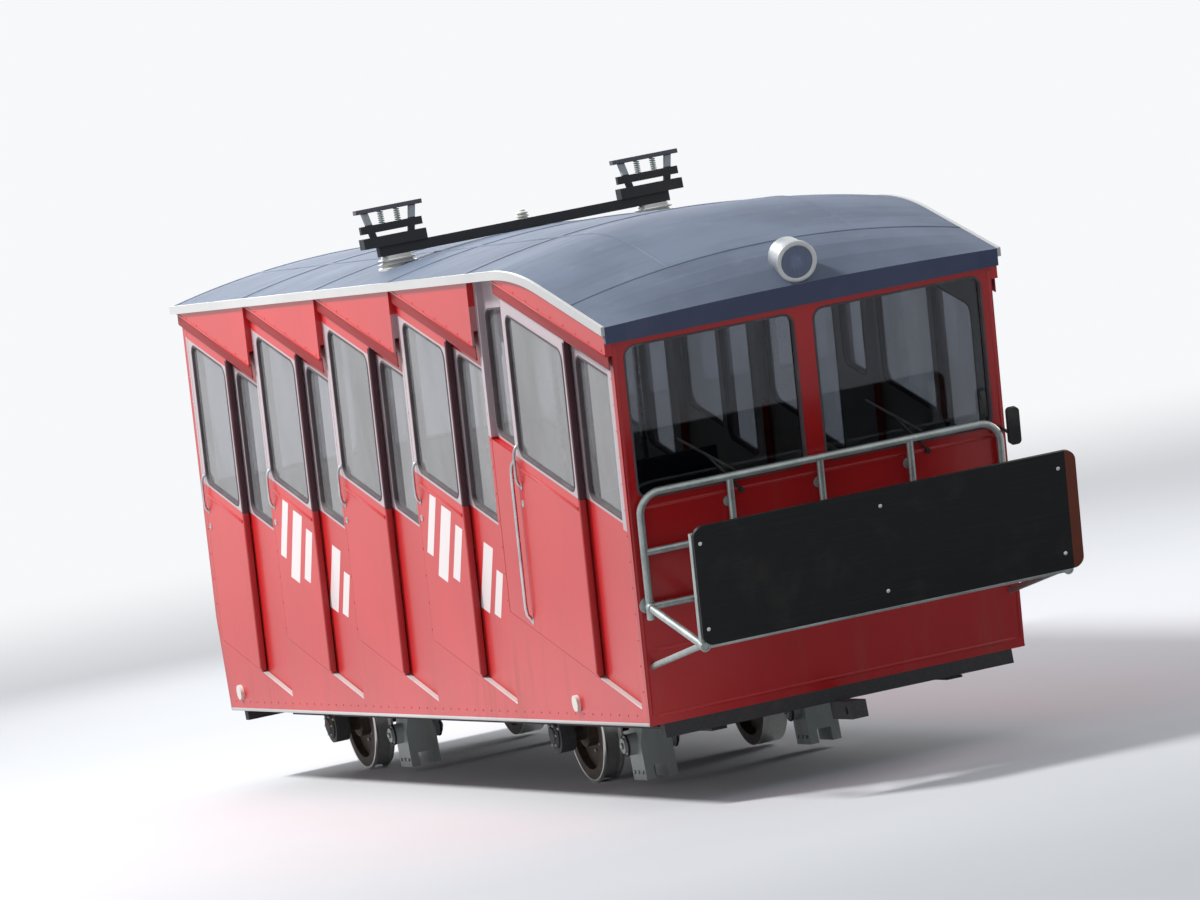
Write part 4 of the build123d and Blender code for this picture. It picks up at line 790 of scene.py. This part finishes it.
for side, sign in SIDES:
    out, frame_y, step_y = ACROSS * sign, sign * FRAME_OUT, sign * (WALL_OUT + FRAME_OUT) / 2
    ends = at([TUCK_IN + 0.020, BODY_LENGTH - 0.004], SKIRT_RISE, frame_y)
    skirt = [bar(*ends, out, skirt_profile)]
    for s in SECTIONS:
        # The pale step plate on the ledge below every recessed panel and doorway; its pale colour
        # is a painted highlight where the ledge catches the light
        ledge = s.field(s.leaf[1] - 0.030, s.high - 0.002, -0.002, 0, step_y)
        skirt.append(bar(*ledge[:2], out, step_profile))
    piece(f"side_strips_{side}", skirt, gutter_paint)

    centres = [at(np.arange(0.24, BODY_LENGTH - 0.05, RIVET_PITCH), RIVET_RISE, frame_y)]
    for s in SECTIONS:
        post = s.start + (0.050 if s is SECTIONS[0] else 0.0225)
        rises = np.linspace(s.floor(post) + 0.06, s.floor(post) + s.header - 0.08, 13)
        centres.append(at(post, rises, frame_y))
        start, count = (COVER_START, 10) if s is CAB else (0.06, 8)
        feet = np.linspace(s.start + start, s.end - 0.06, count)
        centres.append(at(feet, s.floor(feet) + s.header + 0.024, sign * HALF_WIDTH))
    centres.append(at(BODY_LENGTH - 0.060, np.linspace(0.20, END_RISE - 0.12, 14), frame_y))
    rivets = studs(np.concatenate(centres), out, RIVET_R, RIVET_HEIGHT)
    piece(f"rivets_{side}", [rivets], frame_red, smooth=60.0)

    # Flush panel ahead of the cab door, under its fixed window, with an upright handrail
    low, high = CAB.low + 0.001, CAB.leaf[0] - CAB_PANEL_GAP
    middle = (low + high) / 2
    ends = [at(middle, CAB.floor(middle) + over, step_y - sign * 0.001)
            for over in (0.002, SILL - CAB_PANEL_DROP)]
    half, thick = (high - low) / 2 * COS, (FRAME_OUT - WALL_OUT) / 2
    plate = mirrored((-half, -thick), (-half, thick - 0.003), (0.003 - half, thick))
    piece(f"cab_side_panel_{side}", [bar(*ends, out, plate)], body_paint)
    foot = high - CAB_RAIL_IN
    base = at(foot, CAB.floor(foot) + SILL / 2, frame_y - sign * 0.001)
    rail = handle(base, out, CAB_RAIL_LENGTH, CAB_RAIL_STAND, CAB_RAIL_R, 20, CAB_RAIL_PLATE)
    piece(f"cab_handrail_{side}", rail, polished)

    drips, flaps = [], []
    for s in SECTIONS:
        feet = np.array([s.start + (COVER_START if s is CAB else COVER_END), s.end - COVER_END])
        header = s.floor(feet) + s.header
        drips.append(strip(*at(feet, header + 0.007, sign * HALF_WIDTH), out, 0.012, 0.9))
        flap_at = at(feet, header + 0.012 - FLAP_HEIGHT / 2, sign * FLAP_OUT)
        flaps.append(bar(*flap_at, out, flap_profile))
    piece(f"cover_edges_{side}", drips, frame_red)
    # The flaps carry the painted shadow under the covers
    piece(f"cover_shadow_flaps_{side}", flaps, flap_shadow_paint)

# Roof

ROOF_R = (HALF_WIDTH ** 2 + CROWN ** 2) / (2 * CROWN)
INNER_R = (WALL_IN ** 2 + CROWN ** 2) / (2 * CROWN)
LEVEL_START = BODY_LENGTH - (SIDE_RISE - END_RISE) / SIN
BEND_START = LEVEL_START - BEND_RADIUS * math.tan(LEAN / 2)
BEND_END = BEND_START + BEND_RADIUS * LEAN
ROOF_END = BEND_END + (off_end(0, 0, END_RISE)[0] - at(LEVEL_START, SIDE_RISE)[0]
                       - BEND_RADIUS * math.tan(LEAN / 2) * COS) / COS


def roof_place(distance, y, lift=0.0, under=False):
    """Place on the roof, or on its lining: along the edge line up the track, round the bend and
    level, then out along the normal by the arch's height, the root of R squared minus y squared,
    and the lift."""
    distance, y, lift = np.broadcast_arrays(*map(np.asarray, (distance, y, lift)))
    bend = np.clip((distance - BEND_START) / BEND_RADIUS, 0, LEAN)
    rest = np.maximum(distance - BEND_END, 0)
    start = at(0, SIDE_RISE)
    x = start[0] + np.minimum(distance, BEND_START) + BEND_RADIUS * np.sin(bend) + rest * COS
    z = start[2] - BEND_RADIUS * (1 - np.cos(bend)) - rest * SIN
    radius, base = (INNER_R, 0.0) if under else (ROOF_R, ROOF_THICK)
    height = base + CROWN - radius + np.sqrt(radius ** 2 - y ** 2) + lift
    return np.stack([x + height * np.sin(bend), y + 0.0, z + height * np.cos(bend)], -1)


def roof_normal(distance, y, under=False):
    """Outward direction: the edge line's normal leaned over by the arcsine of y over R."""
    distance, y = np.broadcast_arrays(np.asarray(distance, float), np.asarray(y, float))
    bend = np.clip((distance - BEND_START) / BEND_RADIUS, 0, LEAN)
    share = y / (INNER_R if under else ROOF_R)
    tip = np.sqrt(1 - share ** 2)
    return np.stack([np.sin(bend) * tip, share, np.cos(bend) * tip], -1)


def roof_strip(distance, y, profile, under=False):
    """Profile carried over the roof, or upside down under its lining."""
    out = roof_normal(distance, y, under) * (-1 if under else 1)
    return swept(roof_place(distance, y, 0.002 * under, under), out, profile)


SEAM = np.array([(-0.013, -0.002), (-0.012, 0.0015), (-0.006, 0.0045), (0.0, 0.0052),
                 (0.006, 0.0045), (0.012, 0.0015), (0.013, -0.002)])
LAMP_COVER = mirrored((-0.045, -0.004), (-0.040, 0.014), (-0.022, 0.026))
LAST_SEAM, SEAM_Y, LAMP_Y = ROOF_END - 0.500, 0.56, 0.50
y_line = np.linspace(-HALF_WIDTH + 0.006, HALF_WIDTH - 0.006, 49)
seams = [roof_strip(distance, y_line, SEAM)
         for distance in (0.004, *(s.end for s in SECTIONS[:-1]), LAST_SEAM)]
seams += [roof_strip(np.linspace(0.010, LAST_SEAM, 90), y, SEAM) for y in (-SEAM_Y, SEAM_Y)]
piece("roof_seams", seams, roof_paint)
covers = [roof_strip(np.linspace(0.45, 6.10, 60), y, LAMP_COVER, under=True)
          for y in (-LAMP_Y, LAMP_Y)]
piece("ceiling_lamps", covers, ceiling_glass)

# Lamps

rim = np.array([(0.0125, -0.003), (0.0125, 0.002), (0.008, 0.007), (0.0, 0.009), (-0.008, 0.006),
                (-0.0125, 0.001), (-0.0125, -0.003)])
piece("headlamp_rim", [hoop(LAMP_PLACE, LEVEL, LAMP_RIM_R, rim, 56)], white_paint)
angle = np.linspace(0, 1.45, 9)
dome = np.stack([TAIL_R * np.cos(angle), 0.004 + 0.016 * np.sin(angle)], -1)
dome = np.concatenate([[(TAIL_R, -0.002)], dome])
piece("tail_lamp_lens", [turned(TAIL_PLACE, -LEVEL, dome, 40)], tail_glass)
piece("tail_lamp_rim", [hoop(TAIL_PLACE, -LEVEL, TAIL_RIM_R, rim * 0.5, 48)], aluminium)

# Current collectors

COLLECTOR_FOOT, COLLECTOR_Y, BEAM_LOW = 3.700, 0.805, 0.165
middle = at(COLLECTOR_FOOT, SIDE_RISE)
ribs = np.array([(0.96, 0.060), (1.0, 0.070), (1.0, 0.092), (0.94, 0.098), (0.78, 0.100),
                 (0.78, 0.108), (0.96, 0.112), (0.98, 0.118), (0.80, 0.123), (0.76, 0.130),
                 (0.92, 0.135), (0.94, 0.141), (0.78, 0.146), (0.76, 0.158), (0.70, 0.165)])
plate = rounded_rectangle(0.210, 0.210, 6.0, 40) @ np.stack([ALONG, ACROSS])
rings = middle + plate * ribs[:, 0, None, None] + ribs[:, 1, None, None] * UPRIGHT
parts = [shell(rings + ACROSS * y) for y in (-COLLECTOR_Y, COLLECTOR_Y)]
piece("collector_insulators", parts, porcelain, replaces=("collector_bases",))

SPRING_Y, SPRING_LOW, SPRING_HEIGHT, SPRING_R, SPRING_WIRE = 0.050, 0.357, 0.076, 0.016, 0.0034
turns = np.linspace(0, 2 * np.pi * 6, 6 * 14)[:, None]
radial = np.cos(turns) * ALONG + np.sin(turns) * ACROSS
coil = UPRIGHT * (SPRING_LOW + turns / turns[-1] * SPRING_HEIGHT) + radial * SPRING_R
springs = [swept(middle + ACROSS * (y + shift) + coil, radial, circle(SPRING_WIRE, 6))
           for y in (-COLLECTOR_Y, COLLECTOR_Y) for shift in (-SPRING_Y, SPRING_Y)]
piece("collector_springs", springs, galvanised)
post = [(0.036, 0.0), (0.040, 0.004), (0.026, 0.010), (0.040, 0.016), (0.040, 0.022),
        (0.026, 0.028), (0.038, 0.034), (0.038, 0.040), (0.024, 0.046), (0.022, 0.056)]
base = middle + UPRIGHT * (BEAM_LOW + 0.058)
piece("collector_post", [turned(base, UPRIGHT, post, 28)], porcelain)

# Rack and board

RACK_Y, BACK_RUN, RACK_RISE, EDGE_IN, BOARD_BOLT_V = 1.060, 0.045, 0.690, 0.006, 0.24
BACK_TUBES, BACK_CLAMP, BACK_FOOT, RAIL_CLAMPS = (-0.530, 0.0, 0.530), 1.000, 1.180, (0.870, 0.075)
RACK_SLATS, SLAT_BOLT_RUNS = 7, (0.10, 0.46, 0.82)
board_middle = off_end(RACK_REACH, BOARD_SHIFT, BOARD_LOW + BOARD_HEIGHT / 2)
board_size = BOARD_WIDTH - EDGE_IN, BOARD_HEIGHT - EDGE_IN
half = np.array([(-0.5, -0.5), (0.5, -0.5), (0.5, 0.5), (-0.5, 0.5)]) * board_size
edge = board_middle + half @ np.stack([ACROSS, UP_POST]) - LEVEL * 0.0125
edging = mirrored((-0.0120, -0.004), (-0.0122, 0.0012), (-0.0090, 0.0026))[:, ::-1]
piece("board_edging", [swept(rounded(edge, 0.058, 8), LEVEL, edging, closed=True)], board_brown)
heads = [board_middle + ACROSS * (y - BOARD_SHIFT) + UP_POST * v
         for y in (-RACK_Y + 0.02, 0.0, RACK_Y - 0.02) for v in (-BOARD_BOLT_V, BOARD_BOLT_V)]
piece("board_bolts", [studs(heads, LEVEL, 0.011, 0.0032, 14)], aluminium)

clamp = mirrored((0.016, -0.003), (0.016, 0.003), (0.013, 0.006))[:, ::-1]
bands = []
for y in (-RACK_Y, RACK_Y):
    bands += [hoop(off_end(run, y, RACK_RISE), LEVEL, 0.0225, clamp, 24) for run in RAIL_CLAMPS]
    bands.append(turned(off_end(0.0, y, RACK_RISE), LEVEL,
                        [(0.045, -0.001), (0.045, 0.005), (0.030, 0.009)], 28))
for y in BACK_TUBES:
    bands += [hoop(off_end(BACK_RUN, y, rise), UP_POST, 0.0215, clamp, 24)
              for rise in (BACK_CLAMP, RACK_RISE)]
    bands.append(turned(off_end(0.0, y, BACK_FOOT), LEVEL,
                        [(0.032, -0.001), (0.032, 0.004), (0.020, 0.007)], 24))
piece("rack_clamps", bands, galvanised)
slat_ys = np.linspace(-RACK_Y, RACK_Y, RACK_SLATS + 2)[1:-1]
slat_bolts = [off_end(run, y, RACK_RISE) + UP_POST * 0.010
              for y in slat_ys for run in SLAT_BOLT_RUNS]
piece("slat_bolts", [studs(slat_bolts, UP_POST, 0.008, 0.004, 12)], galvanised)

# End walls

BEAD_Y, POST_BEAD_Y = 1.06, 1.095
swage = mirrored((-0.011, -0.001), (-0.009, 0.003), (-0.004, 0.006))
beads = []
for foot, way, rises, low, high in (
    (BODY_LENGTH, 1, (0.055, 0.430, 1.235), 0.06, END_RISE - 0.09),
    (0.0, -1, (0.72, 1.10, 1.44), 0.66, SIDE_RISE - 0.03),
):
    beads += [crossbar(off_end(0.0, 0.0, rise, foot), BEAD_Y, LEVEL * way, swage)
              for rise in rises]
    beads += [bar(*off_end(0.0, y, (low, high), foot), LEVEL * way, swage * 0.8)
              for y in (-POST_BEAD_Y, POST_BEAD_Y)]
# The beads share the end walls' darker red, painted shade
piece("end_beads", beads, end_shaded_paint)

# Inside

BENCH_DEPTH, BENCH_HEIGHT, BENCH_HALF, STEP_IN, TREAD_HALF = 0.440, 0.430, 0.985, 0.030, 1.025
DESK_DEPTH, DESK_HEIGHT, DIAL_R = 0.420, 0.900, 0.056
SLATS, SEAT_PITCH, BACK_PITCH, POLE_GAP = 5, 0.080, 0.092, 0.090
slats, nosings, rosettes = [], [], []
seat_slat = rounded_rectangle(0.066, 0.016, sides=16)
back_slat = rounded_rectangle(0.062, 0.014, sides=16)
tread = np.array([(-0.002, -0.030), (-0.004, -0.028), (-0.004, 0.002), (0.0, 0.004),
                  (0.030, 0.004), (0.032, 0.002), (0.032, -0.001), (0.0, -0.001), (0.0, -0.030)])
for s, above in zip(SECTIONS[:-1], SECTIONS[1:]):
    back = s.end - STEP_IN
    for n in range(SLATS):
        foot = back - (BENCH_DEPTH - 0.042 - n * SEAT_PITCH) / COS
        seat = at(foot, s.floor(foot) + BENCH_HEIGHT + 0.0075)
        slats.append(crossbar(seat, BENCH_HALF, UP_POST, seat_slat, 0.004))
    foot = back - 0.038 / COS
    for n in range(SLATS):
        rest = at(foot, s.floor(foot) + BENCH_HEIGHT + 0.100 + n * BACK_PITCH) - LEVEL * 0.0065
        slats.append(crossbar(rest, BENCH_HALF, LEVEL, back_slat, 0.004))
    edge = at(back, above.floor(back))
    ends = np.array([edge - ACROSS * TREAD_HALF, edge + ACROSS * TREAD_HALF])
    nosings.append(shell(ends[:, None] + tread @ np.stack([LEVEL, UP_POST])))
    foot = back - BENCH_DEPTH / COS - POLE_GAP
    rosettes.append(turned(at(foot, s.floor(foot)), UP_POST, [
        (0.050, -0.001), (0.050, 0.004), (0.040, 0.010), (0.022, 0.014), (0.0195, 0.030)], 28))
piece("bench_slats", slats, bench_timber)
piece("step_nosings", nosings, aluminium, smooth=20.0)
piece("pole_feet", rosettes, aluminium)

desk_front = BODY_LENGTH - (END_WALL + DESK_DEPTH) / COS
desk_origin = at(desk_front, CAB.floor(desk_front) + DESK_HEIGHT)


def on_desk(run, y, up=0.0):
    """Place over the desk: level run from its front edge, across, and up."""
    return desk_origin + LEVEL * run + ACROSS * y + UP_POST * up


dials, bezels, controls, knobs = [], [], [], []
for n, y in enumerate((-0.66, -0.50, -0.34, -0.18)):
    place = on_desk(0.275, y, 0.085)
    dials.append(turned(place, -LEVEL, [(0.052, -0.001), (0.052, 0.002), (0.004, 0.0025)], 32))
    bezels.append(hoop(place, -LEVEL, DIAL_R, rim * 0.45, 40))
    needle = unit(np.array([0, math.cos(1.1 + n), 0]) + UP_POST * math.sin(1.1 + n))
    face = place - LEVEL * 0.004
    controls.append(bar(face - needle * 0.008, face + needle * 0.040, LEVEL,
                        rounded_rectangle(0.004, 0.002, 3.0, 8), 0.0005))
for y, lean in ((-0.70, -0.25), (-0.14, 0.20)):
    base, top = on_desk(0.110, y), on_desk(0.110 + lean * 0.16, y, 0.170)
    bezels.append(turned(base, UP_POST, [
        (0.048, -0.001), (0.048, 0.006), (0.036, 0.012), (0.012, 0.014)], 28))
    controls.append(bar(base, top, ACROSS, circle(0.008, 12), 0.001))
    angle = np.linspace(-1.45, 1.45, 13)
    knob = 0.022 * np.stack([np.cos(angle), np.sin(angle)], -1)
    knobs.append(turned(top, UP_POST, knob, 20))
buttons = [on_desk(0.055 + row * 0.040, -0.56 + n * 0.045) for row in range(2) for n in range(8)]
knobs.append(studs(buttons, UP_POST, 0.011, 0.008, 14))
piece("desk_dials", dials, dial_white)
piece("desk_bezels", bezels, aluminium)
piece("desk_levers", controls, polished)
piece("desk_knobs", knobs, black_rubber)

# Running gear

BOX_Y, WHEEL_Y, WHEEL_FACE, WHEEL_BOLTS_R = 0.745, 0.500, 0.016, 0.135
PIPE_RISE, PIPE_Y, PIPE_ENDS, CLIP_PITCH = 0.442, 0.692, (0.30, 8.10), 0.62
FRAME_BOLT_Y, FRAME_BOLT_RISE = 0.6665, 0.402
CALIPER_FEET, CALIPER_END, CALIPER_RISE = (1.920, 6.420), 0.165, 0.250
JAW_OUT, JAW_RISE, JAW_BOLTS = 0.095, 0.085, (-0.075, 0.0, 0.075)
FRAME_BOLT_FEET = (1.42, 1.50, 2.93, 3.01, 4.43, 4.51, 5.94, 6.02)
BOX_CAP = ((0.082, -0.001), (0.082, 0.008), (0.074, 0.014), (0.052, 0.016), (0.046, 0.024),
           (0.020, 0.026))
NUT = (0.020, -0.001), (0.020, 0.010), (0.012, 0.014)


def gear_at(foot, y, z):
    """Place in the running gear: distance up the track, across and height over the rail."""
    return np.array([DOWNHILL_X + foot, y, z])


caps, cap_bolts, pipes, pipe_clips, frame_bolts = [], [], [], [], []
for _, foot in AXLES:
    for sign in (-1, 1):
        out, centre = ACROSS * sign, gear_at(foot, sign * BOX_Y, AXLE_HEIGHT)
        caps.append(turned(centre, out, BOX_CAP, 36))
        cap_bolts.append(bolt_ring(centre + out * 0.012, out, 0.064, 6, 0.009, 0.010))
        cap_bolts.append(bolt_row(centre + UPRIGHT * 0.040, (-0.085, 0.085), out, 0.012, 0.010))
piece("axle_box_covers", caps, cast_iron)
piece("axle_box_bolts", cap_bolts, galvanised, smooth=25.0)
for sign in (-1, 1):
    for rise, radius, y in ((PIPE_RISE, 0.017, PIPE_Y), (0.486, 0.011, 0.688)):
        ends = (gear_at(foot, sign * y, rise) for foot in PIPE_ENDS)
        pipes.append(bar(*ends, ACROSS, circle(radius, 14), 0.003))
    pipe_clips += [hoop(gear_at(foot, sign * PIPE_Y, PIPE_RISE), ALONG, 0.0185, clamp * 0.7, 18)
                   for foot in np.arange(0.5, 8.1, CLIP_PITCH)]
    web = gear_at(0.0, sign * FRAME_BOLT_Y, FRAME_BOLT_RISE)
    frame_bolts.append(bolt_row(web, FRAME_BOLT_FEET, ACROSS * sign, 0.012, 0.009))
piece("brake_pipes", pipes, chassis_paint)
piece("pipe_clips", pipe_clips, galvanised)
piece("frame_bolts", frame_bolts, galvanised, smooth=25.0)
caliper_bolts, bands = [], []
band = np.array([(0.004, -0.006), (0.006, 0.0), (0.004, 0.006), (-0.004, 0.006), (-0.004, -0.006)])
for foot in CALIPER_FEET:
    for y in (-WHEEL_Y, WHEEL_Y):
        for way in (-1, 1):
            out, end_at = ACROSS * way, gear_at(foot, y + way * CALIPER_END, CALIPER_RISE)
            bands.append(hoop(end_at - out * 0.018, ACROSS, 0.060, band, 36))
            jaw = gear_at(foot, y + way * JAW_OUT, JAW_RISE)
            caliper_bolts += [turned(end_at, out, NUT, 6),
                              bolt_row(jaw, JAW_BOLTS, out, 0.013, 0.010)]
piece("caliper_bolts", caliper_bolts, galvanised, smooth=25.0)
piece("caliper_bands", bands, chassis_paint)
for name, foot in AXLES:
    hubs = [bolt_ring(gear_at(foot, y + way * WHEEL_FACE, AXLE_HEIGHT), ACROSS * way,
                      WHEEL_BOLTS_R, 8, 0.013, 0.012)
            for y in (-WHEEL_Y, WHEEL_Y) for way in (-1, 1)]
    piece(f"wheel_bolts_{name}", hubs, galvanised, f"wheelset_{name}", smooth=25.0)

# Mirror

mirror_at = off_end(0.190 - 0.0165, FRAME_OUT - 0.024, 1.330)
mirror_glass = rounded_rectangle(0.058, 0.196, 7.0, 28) @ np.stack([ACROSS, UP_POST])
rings = np.stack([mirror_at + mirror_glass * k - LEVEL * d
                  for k, d in ((1.0, -0.002), (1.0, 0.001), (0.97, 0.002))])
piece("mirror_glass", [shell(rings)], polished)

# Studio

PALE_SKY = (0.93, 0.94, 0.96, 1.0)


def studio():
    """Pale floor that fades into the pale surroundings with distance, a high key light from the
    left side, two weaker fills and an even sky."""
    bpy.ops.mesh.primitive_circle_add(vertices=96, radius=160.0, fill_type="NGON")
    floor = bpy.context.object
    floor.name = "studio_floor"
    f = Finish("studio floor", Roughness=0.9)
    seen = f.seen()
    shown = f.mixed(f.noise(0.4, 2.0), tone(206, 207, 209), tone(211, 212, 214))
    f.set(Base_Color=f.mixed(seen, tone(176, 176, 178), shown))
    glow = f.node("ShaderNodeEmission", inputs={"Color": PALE_SKY, "Strength": 1.0})
    far = f.away(0.0, 0.0, None).above(9.0, 24.0)
    mix = f.node("ShaderNodeMixShader",
                 inputs={0: far * seen, 1: Wire(f, f.shader.outputs[0]), 2: glow})
    f.tree.links.new(mix.socket, f.tree.nodes["Material Output"].inputs["Surface"])
    floor.data.materials.append(f.material)
    world = bpy.data.worlds.new("studio")
    bpy.context.scene.world = world
    world.use_nodes = True
    sky = Nodes(world.node_tree)
    shown = sky.mixed(sky.seen(), (0.40, 0.42, 0.46, 1.0), PALE_SKY)
    sky.tree.links.new(shown.socket, sky.tree.nodes["Background"].inputs["Color"])
    for name, place, aim, size, power in (
        ("key", (-3.5, -9.5, 14.8), (0.0, 0.0, 1.6), 3.0, 3300.0),
        ("downhill fill", (-16.0, 3.0, 7.0), (-2.0, 0.0, 1.8), 8.0, 500.0),
        ("right fill", (-3.0, 14.0, 7.0), (0.0, 0.0, 1.6), 8.0, 800.0),
    ):
        light = bpy.data.lights.new(name, "AREA")
        light.shape, light.size, light.energy = "DISK", size, power
        lamp = bpy.data.objects.new(name, light)
        bpy.context.scene.collection.objects.link(lamp)
        lamp.location = place
        lamp.rotation_euler = (Vector(aim) - Vector(place)).to_track_quat("-Z", "Y").to_euler()


def camera():
    """Far camera at the photograph's viewing angle, rolled so that the slope shows."""
    place, aim = np.array([52.052, -16.990, 4.363]), np.array([0.15, 0.0, 1.85])
    forward = unit(aim - place)
    up = np.array([0.07268, 0.17276, 0.98228])
    up = unit(up - forward * up.dot(forward))
    right = np.cross(forward, up)
    data = bpy.data.cameras.new("view")
    data.sensor_width, data.lens = 36.0, 282.0
    data.clip_start, data.clip_end = 0.5, 500.0
    made = bpy.data.objects.new("view", data)
    bpy.context.scene.collection.objects.link(made)
    matrix = np.eye(4)
    matrix[:3, 0], matrix[:3, 1], matrix[:3, 2], matrix[:3, 3] = right, up, -forward, place
    made.matrix_world = Matrix(matrix.tolist())
    bpy.context.scene.camera = made


studio()
camera()
bpy.context.scene.view_settings.view_transform = "Standard"
